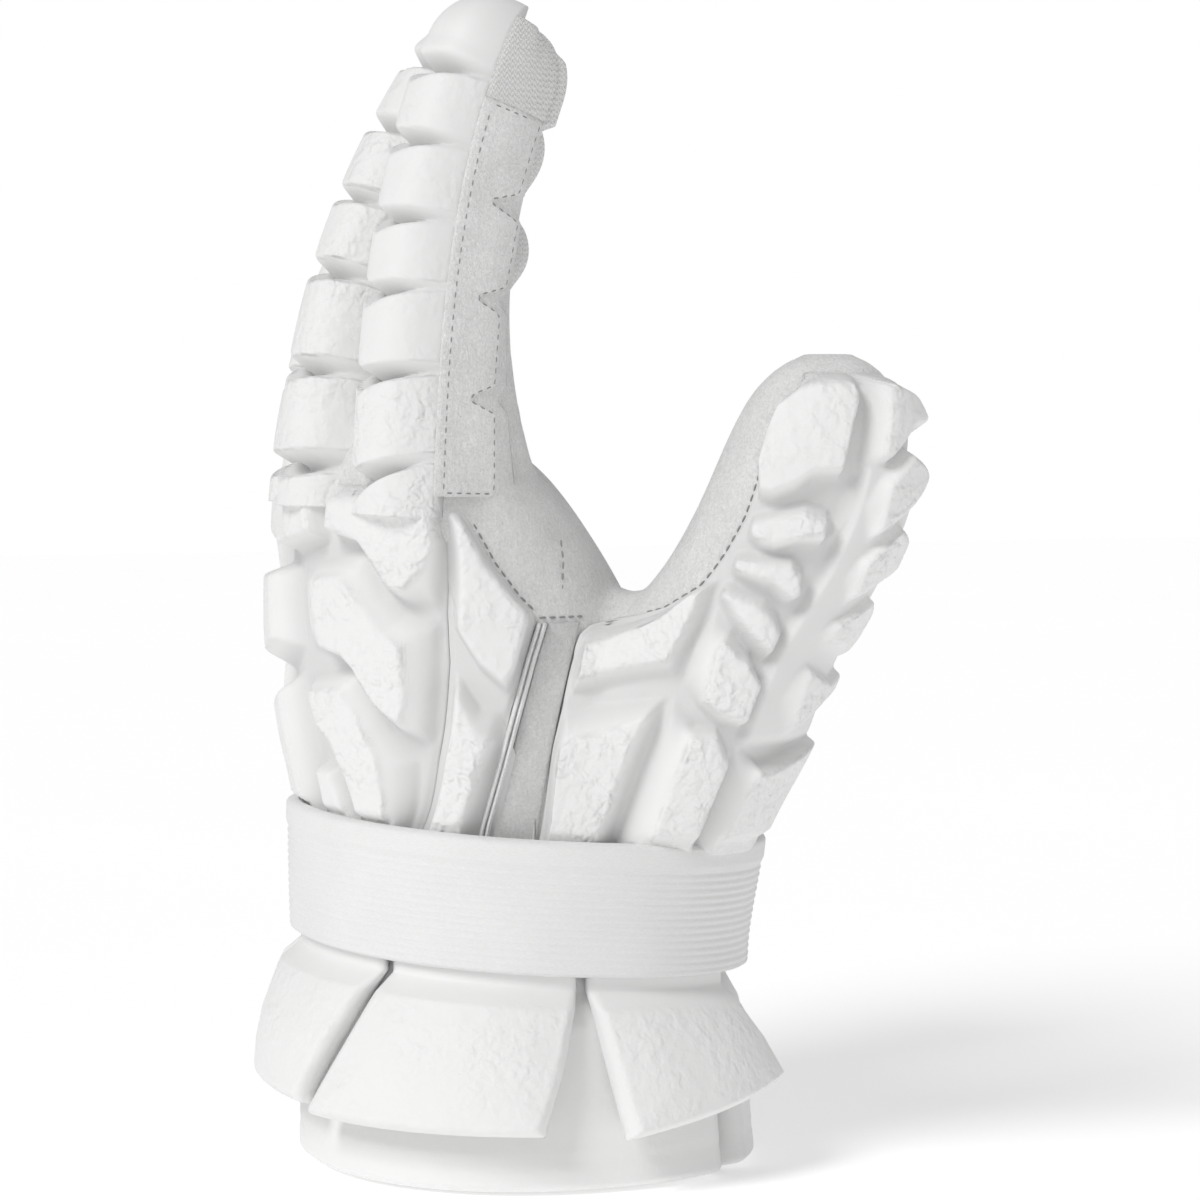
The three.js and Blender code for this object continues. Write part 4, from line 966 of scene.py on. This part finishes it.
sleeve = {
    "height": 90.0, "foam": 9.2, "topSkin": 3.7, "split": 41.0, "gap": 3.0, "edge": 3.2,
    "seamLow": 9.0, "seamDeep": 0.2, "seamWide": 1.1, "curl": 3.5, "inner": 0.6, "least": 0.9,
}


def sleevePiece():
    o = sleeve
    topRows = np.linspace(o["height"] - 1, o["height"], 4)
    heights = np.concatenate([np.linspace(0, 6, 13), np.arange(7, o["height"] - 1, 1.25), topRows])
    turns = np.linspace(o["split"] + o["gap"], o["split"] - o["gap"] + 360, 181)
    turn, height = np.meshgrid(turns, heights)
    # the padding thins where the strap goes round
    levels = [0, 3, 32, 44, 52, o["height"]]
    padding = [o["foam"], o["foam"], o["foam"] - 1, o["foam"] - 1.6, o["topSkin"], o["topSkin"]]
    plain = np.interp(height, levels, padding)
    # the padded rim is rounded, with a shallow seam above it
    rim = roundedRim(height, o["edge"])
    seam = o["seamDeep"] * np.exp(-(((height - o["seamLow"]) / o["seamWide"]) ** 2))
    ends = np.minimum(turn - turns[0], turns[-1] - turn) * degreeLong
    curl = rampUp(ends, 0, o["curl"])
    stand = o["least"] + (plain - o["least"] - seam) * rim * (0.35 + 0.65 * curl)
    points = bodyPoint(turn, np.maximum(height, hand["foot"]), stand)
    points[..., 2] = height + (1 - rim) * 0.2
    inner = bodyPoint(turn, np.maximum(height, hand["foot"]), o["inner"])
    inner[..., 2] = height
    return slabPiece("cuffSleeve", points, inner)


flaps = {
    "flapThumb": dict(node="cuff_flap_thumb", top=(-55, -6), foot=(-74, -17), low=(18, 17), flare=3.3),
    "flapPalm": dict(node="cuff_flap_palm", top=(-4, 44), foot=(1, 49), low=(15, 25), flare=3.3),
    "flapBack": dict(node="cuff_flap_back", top=(-112, -57), foot=(-124, -77), low=(21, 20), flare=2.7),
    "flapOuter": dict(node="cuff_flap_outer", top=(-166, -114), foot=(-178, -127), low=(20, 20), flare=2.7),
}
flapLook = {"foam": 9.0, "tongue": 2.8, "seat": 4.3, "rows": 96, "columns": 72, "edge": 3.4, "pillow": 1.0}


def flapPiece(name, shape):
    o = flapLook
    tongueTop, bend = sleeve["height"] - 4, strap["foot"] - 3
    clear = sleeve["foam"] + 0.3
    # from the tongue's top down to the foot: shares of the way, heights, stands, thicknesses and spread
    downs = np.array([0, 0.15, 0.3, 0.45, 0.7, 0.96, 1.0])
    lowFrom, lowTo = shape["low"]
    low = {side: np.array([tongueTop, 0.5 * (tongueTop + bend), bend, bend - 5, 0.5 * (bend + v), v + 3, v])
           for side, v in (("from", lowFrom), ("to", lowTo))}
    seat, tongue, foam, flared = o["seat"], o["tongue"], o["foam"], clear + shape["flare"]
    stands = np.array([seat, seat, seat, seat + 1.2, clear - 0.6, flared, flared + 0.4])
    thicks = np.array([tongue, tongue, tongue + 0.6, foam - 1.5, foam, foam, foam - 0.6])
    spreads = np.array([0, 0, 0.02, 0.15, 0.5, 0.95, 1.0])
    down = np.linspace(0, 1, o["rows"])
    # columns close up towards both sides
    even = np.linspace(0, 1, o["columns"])
    across = 0.5 * (0.5 - 0.5 * np.cos(math.pi * even)) + 0.5 * even
    spread = np.interp(down, downs, spreads)[:, None]
    first = shape["top"][0] + (shape["foot"][0] - shape["top"][0]) * spread
    last = shape["top"][1] + (shape["foot"][1] - shape["top"][1]) * spread
    turn = first + (last - first) * across
    zFrom, zTo = (np.interp(down, downs, low[side])[:, None] for side in ("from", "to"))
    height = zFrom + (zTo - zFrom) * across
    width = (last - first) * 1.1
    fromSide = np.minimum(across, 1 - across) * width
    fromFoot = (down[-1] - down)[:, None] * (tongueTop - 0.5 * (lowFrom + lowTo)) + 0 * across
    toEdge = np.minimum(fromSide, fromFoot)
    rim = roundedRim(toEdge, o["edge"])
    plump = o["pillow"] * rampUp(toEdge, 0, 14) * rampUp(down[:, None], 0.35, 0.6)
    thick = np.interp(down, downs, thicks)[:, None]
    stand = np.interp(down, downs, stands)[:, None]
    middle = 0.42 * thick
    outer = stand + middle + (thick - middle + plump) * rim
    inner = stand + middle - middle * rim
    lift = np.minimum(1, 2 - 2 * down)[:, None]

    def layer(grow):
        points = bodyPoint(turn, height, grow + 0 * turn)
        points[..., 2] += strapLift(points) * lift
        return points

    piece = slabPiece(name, layer(outer), layer(inner))
    grain = (rampUp(down[:, None], 0.38, 0.5) * rampUp(toEdge, 0.5, 3)).ravel()
    markPoints(piece, "grain", np.concatenate([grain, 0 * grain]))
    return piece


print("glove: materials")


class Wire:
    # a node's output, so that shader maths reads as plain sums
    def __init__(self, nodes, socket):
        self.nodes, self.socket = nodes, socket

    def maths(self, operation, *values, clamp=False):
        settings = {"operation": operation, "use_clamp": clamp}
        return self.nodes.add("ShaderNodeMath", settings, dict(enumerate(values)))

    def __add__(self, other):
        return self.maths("ADD", self, other)

    def __sub__(self, other):
        return self.maths("SUBTRACT", self, other)

    def __mul__(self, other):
        return self.maths("MULTIPLY", self, other)

    def __rsub__(self, other):
        return self.maths("SUBTRACT", other, self)

    __radd__, __rmul__ = __add__, __mul__

    def clamped(self):
        return self.maths("MULTIPLY", self, 1.0, clamp=True)


class Look:
    # one material's nodes
    def __init__(self, name):
        self.material = bpy.data.materials.new(name)
        self.material.use_nodes = True
        self.tree = self.material.node_tree
        self.tree.nodes.clear()
        self.output = self.tree.nodes.new("ShaderNodeOutputMaterial")

    def add(self, kind, settings=None, sockets=None, output=0):
        node = self.tree.nodes.new(kind)
        for key, value in (settings or {}).items():
            setattr(node, key, value)
        for key, value in (sockets or {}).items():
            if isinstance(value, Wire):
                self.tree.links.new(value.socket, node.inputs[key])
            else:
                node.inputs[key].default_value = value
        return Wire(self, node.outputs[output])

    def place(self, stretch=(1, 1, 1)):
        where = self.add("ShaderNodeTexCoord", output="Object")
        return self.add("ShaderNodeVectorMath", {"operation": "MULTIPLY"}, {0: where, 1: stretch})

    def noise(self, scale, detail=3.0, rough=0.5, warp=0.0, stretch=(1, 1, 1)):
        sockets = {"Vector": self.place(stretch), "Scale": scale, "Detail": detail, "Roughness": rough,
                   "Distortion": warp}
        return self.add("ShaderNodeTexNoise", {}, sockets)

    def mark(self, name):
        return self.add("ShaderNodeAttribute", {"attribute_name": name}, output="Fac")

    def mix(self, factor, a, b):
        # two colours; sockets 6 and 7 are the Mix node's colour inputs
        colours = {6 + k: (*c, 1) if isinstance(c, tuple) else c for k, c in enumerate((a, b))}
        return self.add("ShaderNodeMix", {"data_type": "RGBA"}, {"Factor": factor, **colours}, output=2)

    def bump(self, height, strength, distance, normal=None):
        sockets = {"Height": height, "Strength": strength, "Distance": distance}
        if normal:
            sockets["Normal"] = normal
        return self.add("ShaderNodeBump", {}, sockets)

    def skin(self, **sockets):
        names = {
            "colour": "Base Color", "roughness": "Roughness", "normal": "Normal",
            "sheen": "Sheen Weight", "sheenRoughness": "Sheen Roughness", "specular": "Specular IOR Level",
            "glow": "Emission Color", "glowStrength": "Emission Strength",
        }
        shader = self.add("ShaderNodeBsdfPrincipled", {}, {names[k]: v for k, v in sockets.items()})
        self.tree.links.new(shader.socket, self.output.inputs["Surface"])
        return self.material


# shaded is a painted shade colour for grooves and low foam, and hollowShade is how far it is mixed in
leather = {
    "light": (0.85, 0.85, 0.845), "shaded": (0.68, 0.68, 0.676), "dusty": (0.82, 0.819, 0.811),
    "wrinkleScale": 380.0, "wrinkleRise": 0.0016, "poreScale": 2600.0, "poreRise": 0.00006,
    "plainGrain": 0.25, "hollowShade": 0.75,
}


def paddedLeather(name, marked=True, wrinkle=1.0):
    look, o = Look(name), leather
    # a soft embossed mottling, stronger in patches
    emboss = look.noise(o["wrinkleScale"], 1.5, 0.45, 0.25)
    broad = look.noise(70.0, 2.0, 0.5)
    pores = look.noise(o["poreScale"], 2.0, 0.6)
    grain = look.mark("grain") if marked else o["plainGrain"]
    patchy = ((broad - 0.3) * 3.0).clamped()
    wrinkles = emboss * grain * patchy * wrinkle
    blotch = look.noise(38.0, 4.0, 0.6)
    tint = look.mix(((blotch - 0.42) * 1.6).clamped() * 0.5, o["light"], o["dusty"])
    # painted shade: grooves and low foam, as marked on the pieces, are mixed towards the shaded grey
    if marked:
        tint = look.mix(look.mark("paintedShade") * o["hollowShade"], tint, o["shaded"])
    fine = look.bump(pores, 0.6, o["poreRise"])
    normal = look.bump(wrinkles, 1.0, o["wrinkleRise"], fine)
    roughness = 0.5 + 0.14 * pores + 0.08 * wrinkles
    return look.skin(colour=tint, roughness=roughness, normal=normal, specular=0.42)


suede = {"light": (0.9, 0.9, 0.895), "dark": (0.62, 0.62, 0.615), "fibreScale": 1300.0, "fibreRise": 0.0004}


def greySuede(name, tone=1.0, fibre=1.0):
    look, o = Look(name), suede
    nap = look.noise(o["fibreScale"], 4.0, 0.7, 0.6)
    drift = look.noise(60.0, 4.0, 0.6)
    long = look.noise(900.0, 2.0, 0.6, stretch=(1, 1, 0.3))
    light, dark = (tuple(tone * c for c in o[k]) for k in ("light", "dark"))
    tint = look.mix(((nap + drift * 0.5 + long * 0.3 - 0.9) * 1.6 + 0.5).clamped(), dark, light)
    normal = look.bump(nap + long * 0.5, 0.9, o["fibreRise"] * fibre)
    return look.skin(
        colour=tint, roughness=0.88 + 0.08 * nap, normal=normal, sheen=0.25, sheenRoughness=0.5, specular=0.2,
    )


knit = {"light": (0.86, 0.86, 0.852), "dark": (0.68, 0.68, 0.675), "loop": 4200.0, "rise": 0.0004}


def greyKnit(name):
    look, o = Look(name), knit
    where = look.place((o["loop"],) * 3)
    parts = {axis: look.add("ShaderNodeSeparateXYZ", {}, {0: where}, output=axis) for axis in ("X", "Y", "Z")}
    column = look.add("ShaderNodeMath", {"operation": "SINE"}, {0: parts["Y"] + parts["X"] * 0.4})
    row = look.add("ShaderNodeMath", {"operation": "SINE"}, {0: parts["Z"] + column * 0.9})
    loops = ((row * column) * 0.5 + 0.5).clamped()
    fuzz = look.noise(2200.0, 3.0, 0.7)
    tint = look.mix((loops * 0.7 + fuzz * 0.4).clamped(), o["dark"], o["light"])
    normal = look.bump(loops + fuzz * 0.5, 0.9, o["rise"])
    return look.skin(colour=tint, roughness=0.92 + 0.05 * fuzz, normal=normal, sheen=0.2, specular=0.15)


webbing = {"light": (0.88, 0.88, 0.876), "dark": (0.72, 0.72, 0.716), "thread": 1900.0}


def ribbedWebbing(name):
    look, o = Look(name), webbing
    thread = look.noise(o["thread"], 2.0, 0.6, stretch=(0.5, 0.5, 2.2))
    drift = look.noise(45.0, 3.0, 0.5)
    tint = look.mix((thread * 0.8 + drift * 0.4).clamped(), o["dark"], o["light"])
    normal = look.bump(thread, 0.7, 0.00012)
    return look.skin(colour=tint, roughness=0.74 + 0.12 * thread, normal=normal, sheen=0.1, specular=0.3)


def threadLook(name, tone):
    look = Look(name)
    twist = look.noise(3200.0, 2.0, 0.5)
    light = tuple(tone * c for c in (1, 1, 0.99))
    tint = look.mix(twist, tuple(0.82 * c for c in light), light)
    normal = look.bump(twist, 0.6, 0.0001)
    return look.skin(colour=tint, roughness=0.7 + 0.1 * twist, normal=normal, specular=0.3)

whitePad = paddedLeather("moulded leather")
cuffLeather = paddedLeather("cuff leather", wrinkle=0.45)
plainLeather = paddedLeather("sleeve leather", marked=False, wrinkle=0.4)
suedeMain = greySuede("grey suede")
suedePatch = greySuede("grey suede patch", tone=1.12, fibre=1.3)
suedeDark = greySuede("gusset suede", tone=0.84)
pipingLook = greySuede("piping suede", tone=1.12)
tipKnit = greyKnit("fingertip knit")
webbingLook = ribbedWebbing("ribbed elastic")
greyThread = threadLook("grey thread", 0.34)

print("glove: assembling")

softNodes = ["hand_shell", "palm_shell", "wrist_shell", "thumb_stall"] + [name + "_stall" for name in fingers]
finish(softShell(), suedeMain, "suede", *softNodes, fill=0.3)

for name in fingers:
    finish(fingerPadPiece(name), whitePad, "moulded_foam", name + "_pad", fill=0.8)

thumbEdge = {"from": -45.0, "step": 0.37, "flat": 22.0}  # the step in millimetres for a degree of turn
thumbValley = {"from": 27.0, "foot": 118.0, "top": 192.0, "foam": 5.6, "soft": 2.0}


def thumbFace(turn, height, grow):
    # beside the gusset the panel leaves the thumb and runs on over the hand's side
    turn, height, grow = (np.atleast_2d(v) for v in np.broadcast_arrays(turn, height, grow))
    near = thumbFoamPoint(np.maximum(turn, thumbEdge["from"]), height, grow)
    bare = thumbFoamPoint(np.maximum(turn, thumbEdge["from"]), height, 0 * grow)
    over = rampUp(thumbEdge["from"] - turn, 0, thumbEdge["flat"])
    along = (near + (bare - near) * over[..., None]) @ alongSide
    along = along + thumbEdge["step"] * (turn - thumbEdge["from"])
    side = flatSidePoint(along, height, grow)
    return np.where((turn < thumbEdge["from"])[..., None], side, near)


# each panel: its face, sheet and blocks, the turn its columns spread from, how far from its seam the foam
# is full, and the valley of thicker foam between the thumb's blocks
panels = {
    "back": (bodyPoint, backSheet, backBlocks, -80, 4.5),
    "radial": (bodyPoint, radialSheet, radialBlocks, -19, 4.5),
    "ulnar": (bodyPoint, ulnarSheet, ulnarBlocks, -180, 3),
    "thumb": (thumbFace, thumbSheet, thumbBlocks, -24, 1.6, thumbValley),
}
for name, values in panels.items():
    finish(panelPiece(name + "Panel", *values), whitePad, "moulded_foam", name + "_panel", fill=0.8)


def gussetStand(share, height):
    return strips["gussetStand"] - strips["gussetDip"] * (2 * share - 1) ** 8 + 0 * height


def pipingStand(share, height):
    # two rolled edges with a seam between
    fold = np.abs(np.sin(2 * math.pi * np.clip(share, 0, 1)))
    return strips["pipingFoot"] + (strips["pipingStand"] - strips["pipingFoot"]) * fold**0.7 + 0 * height


finish(sideStripPiece("gussetStrip", gussetRows, gussetStand, 22), suedeDark, "suede", "gusset", fill=0.2)
pipingFar, pipingNear = strips["pipingOff"] + strips["pipingWidth"], strips["pipingOver"]
pipingRows = [(z, a - pipingFar, a - pipingNear) for z, a, b in gussetRows]
piping = sideStripPiece("gussetPiping", pipingRows, pipingStand, 25)
finish(piping, pipingLook, "suede", "gusset_piping", fill=0.2)

# the index finger's side patch, notched at the joints along its palm edge, over a wider skin
sidePatch = {
    "from": -0.03, "to": 0.8, "near": 65.0, "notch": 91.0, "notchWide": 0.024,
    "notches": (0.178, 0.39, 0.596), "stand": 0.6,
    "backFrom": -0.02, "backNear": 84.0, "backRoom": 10.0, "backNotch": 112.0, "backStand": 0.15,
}
# its palm edge, as shares of the finger and turns
patchEdge = np.array([
    (-0.03, 108), (0.15, 111), (0.206, 112), (0.354, 116),
    (0.46, 125), (0.578, 128), (0.614, 121), (0.8, 128),
])


def patchFar(shares, room, notch):
    edge = np.interp(shares, patchEdge[:, 0], patchEdge[:, 1]) + room
    for at in sidePatch["notches"]:
        bite = np.clip(1.3 - np.abs(shares - at) / sidePatch["notchWide"], 0, 1)
        edge = edge + (notch - edge) * bite
    return edge


shares = np.linspace(sidePatch["from"], sidePatch["to"], 260)
index = fingers["index"]
nearEdge = np.full(shares.shape, sidePatch["near"])
farEdge = patchFar(shares, 0, sidePatch["notch"])
patch = patchPiece("indexSidePatch", index, shares, nearEdge, farEdge, sidePatch["stand"], 44)
finish(patch, suedePatch, "suede", "index_side_patch", fill=0.1)
shares = np.linspace(sidePatch["backFrom"], sidePatch["to"], 150)
nearEdge = np.full(shares.shape, sidePatch["backNear"])
farEdge = patchFar(shares, sidePatch["backRoom"], sidePatch["backNotch"])
layer = patchPiece("indexSideLayer", index, shares, nearEdge, farEdge, sidePatch["backStand"], 30)
finish(layer, suedeMain, "suede", fill=0.1)

tipPatch = {"from": 0.8, "to": 0.985, "seamRoom": 0.5, "far": 268.0, "stand": 0.6}
shares = np.linspace(tipPatch["from"], tipPatch["to"], 60)
for name, finger in fingers.items():
    nearEdge = np.full(shares.shape, finger["seam"] + tipPatch["seamRoom"])
    farEdge = np.full(shares.shape, tipPatch["far"])
    patch = patchPiece(name + "TipPatch", finger, shares, nearEdge, farEdge, tipPatch["stand"], 60)
    finish(patch, tipKnit, "tip_knit", name + "_tip_patch", fill=0.1)

# the thick sewn edge beside the index fingertip's knit
tipEdge = {"from": 0.79, "to": 0.965, "near": 130.0, "far": 156.0, "stand": 2.6, "rimSoft": 2.2}
shares = np.linspace(tipEdge["from"], tipEdge["to"], 60)
nearEdge, farEdge = (np.full(shares.shape, tipEdge[side]) for side in ("near", "far"))
edge = patchPiece("indexTipEdge", index, shares, nearEdge, farEdge, tipEdge["stand"], 24, tipEdge["rimSoft"])
finish(edge, tipKnit, "tip_knit", fill=0.1)

finish(strapPiece(), webbingLook, "strap_webbing", "wrist_strap", fill=0.2)
finish(sleevePiece(), plainLeather, "cuff_leather", "cuff_sleeve", fill=0.7)
for name, shape in flaps.items():
    finish(flapPiece(name, shape), cuffLeather, "cuff_leather", shape["node"], fill=0.7)

print("glove: stitching")

# where the side patch is sewn: how far in from its edges, in turns, and where its seams start and end
patchSeam = {
    "near": 6.0, "far": 5.0, "notch": 4.0, "from": -0.024, "to": 0.79, "foot": -0.022, "endTurn": 106.0,
}


def indexFace(turn, share, grow):
    return coverPoint(index, turn, share, grow)


stand, nearTurn = sidePatch["stand"], sidePatch["near"] + patchSeam["near"]
shares = np.linspace(patchSeam["from"], patchSeam["to"], 300)
farTurns = patchFar(shares, -patchSeam["far"], sidePatch["notch"] - patchSeam["notch"])
runs = [surfaceRun(indexFace, turns, shares, stand) for turns in (np.full(shares.shape, nearTurn), farTurns)]
ends = np.linspace(nearTurn, patchSeam["endTurn"], 40)
for share in (patchSeam["foot"], patchSeam["to"]):
    runs.append(surfaceRun(indexFace, ends, np.full(ends.shape, share), stand))
finish(stitchPiece("patchStitching", runs), greyThread, "suede")

# the seams beside the radial and the thumb panel: heights, and how far off in turns
webStitch = {"stand": 0.25, "seamStand": 0.3, "radial": (153.0, 181.0, 1.6), "thumb": (152.5, 213.0, -1.8)}
low, high, off = webStitch["radial"]
heights = np.linspace(low, high, 60)
webTurns = np.array([(z, last) for z, first, last in radialSheet if z >= low], float)
beside = np.interp(heights, webTurns[:, 0], webTurns[:, 1]) + off
runs = [surfaceRun(bodyPoint, beside, heights, webStitch["stand"])]
low, high, off = webStitch["thumb"]
heights = np.linspace(low, high, 140)
thumbTurns = np.array(thumbSheet, float)
beside = np.interp(heights, thumbTurns[:, 0], thumbTurns[:, 1]) + off
runs.append(surfaceRun(thumbFace, beside, heights, webStitch["stand"]))
# the web's own seam by height and place along the side, and the one across the gusset's top
webSeam = np.array([(151.5, 9.6), (160.0, 10.8), (166.0, 11.0), (172.0, 10.3)])
heights = np.linspace(webSeam[0, 0], webSeam[-1, 0], 30)
along = np.interp(heights, webSeam[:, 0], webSeam[:, 1])
runs.append(surfaceRun(flatSidePoint, along, heights, webStitch["seamStand"]))
gussetTop = {"height": 151.4, "from": 4.0, "to": 17.0}
along = np.linspace(gussetTop["from"], gussetTop["to"], 20)
heights = np.full(along.shape, gussetTop["height"])
runs.append(surfaceRun(flatSidePoint, along, heights, webStitch["seamStand"]))
finish(stitchPiece("webStitching", runs), greyThread, "suede")

print("glove: stage")

stage = {
    "floorSize": 8.0, "floorDrop": 0.0002, "floor": (0.97, 0.97, 0.97), "glow": 0.3,
    "world": 0.45, "backdrop": 1.0, "keyFrom": (0.5, -0.9, 0.85), "keyStrength": 1.4, "keySpread": 22,
}
view = {
    "azimuth": 68.0, "elevation": 3.0, "distance": 1.1, "focal": 120.0, "sensor": 36.0,
    "target": (8.7, 18.7, 153.0),
}

bpy.ops.mesh.primitive_plane_add(size=stage["floorSize"], location=(0, 0, -stage["floorDrop"]))
floor = bpy.context.object
floor.name = "floor"
floorLook = Look("pale floor")
speckle = floorLook.noise(3.0, 2.0, 0.5)
floorTint = floorLook.mix(speckle, tuple(0.98 * c for c in stage["floor"]), stage["floor"])
floorRough = 0.9 + 0.05 * speckle
floorLook.skin(colour=floorTint, roughness=floorRough, glow=(1, 1, 1, 1), glowStrength=stage["glow"])
floor.data.materials.append(floorLook.material)

world = bpy.data.worlds.new("studio")
bpy.context.scene.world = world
bpy.context.scene.view_settings.view_transform = "Standard"
world.use_nodes = True
sky = world.node_tree
# the room's light is softer than the white backdrop that the lens sees
backdrop = sky.nodes.new("ShaderNodeBackground")
seen = sky.nodes.new("ShaderNodeLightPath")
either = sky.nodes.new("ShaderNodeMixShader")
for node, strength in ((sky.nodes["Background"], stage["world"]), (backdrop, stage["backdrop"])):
    node.inputs["Color"].default_value = (1, 1, 1, 1)
    node.inputs["Strength"].default_value = strength
sky.links.new(seen.outputs["Is Camera Ray"], either.inputs[0])
sky.links.new(sky.nodes["Background"].outputs[0], either.inputs[1])
sky.links.new(backdrop.outputs[0], either.inputs[2])
sky.links.new(either.outputs[0], sky.nodes["World Output"].inputs["Surface"])


def aim(thing, target):
    thing.rotation_euler = (Vector(target) - thing.location).to_track_quat("-Z", "Y").to_euler()


def farLight(name, place, strength, spread):
    # a wide soft light far off, so that it falls on floor and glove alike
    data = bpy.data.lights.new(name, "SUN")
    data.energy, data.angle = strength, math.radians(spread)
    light = bpy.data.objects.new(name, data)
    light.location = place
    bpy.context.scene.collection.objects.link(light)
    aim(light, (0, 0, 0))


farLight("key", stage["keyFrom"], stage["keyStrength"], stage["keySpread"])

azimuth, elevation = math.radians(view["azimuth"]), math.radians(view["elevation"])
level = math.cos(elevation)
back = Vector((math.sin(azimuth) * level, -math.cos(azimuth) * level, math.sin(elevation)))
target = Vector(placed(view["target"]).tolist())
camera = bpy.data.objects.new("camera", bpy.data.cameras.new("camera"))
camera.data.lens, camera.data.sensor_width = view["focal"], view["sensor"]
camera.location = target + back * view["distance"]
bpy.context.scene.collection.objects.link(camera)
aim(camera, target)
bpy.context.scene.camera = camera

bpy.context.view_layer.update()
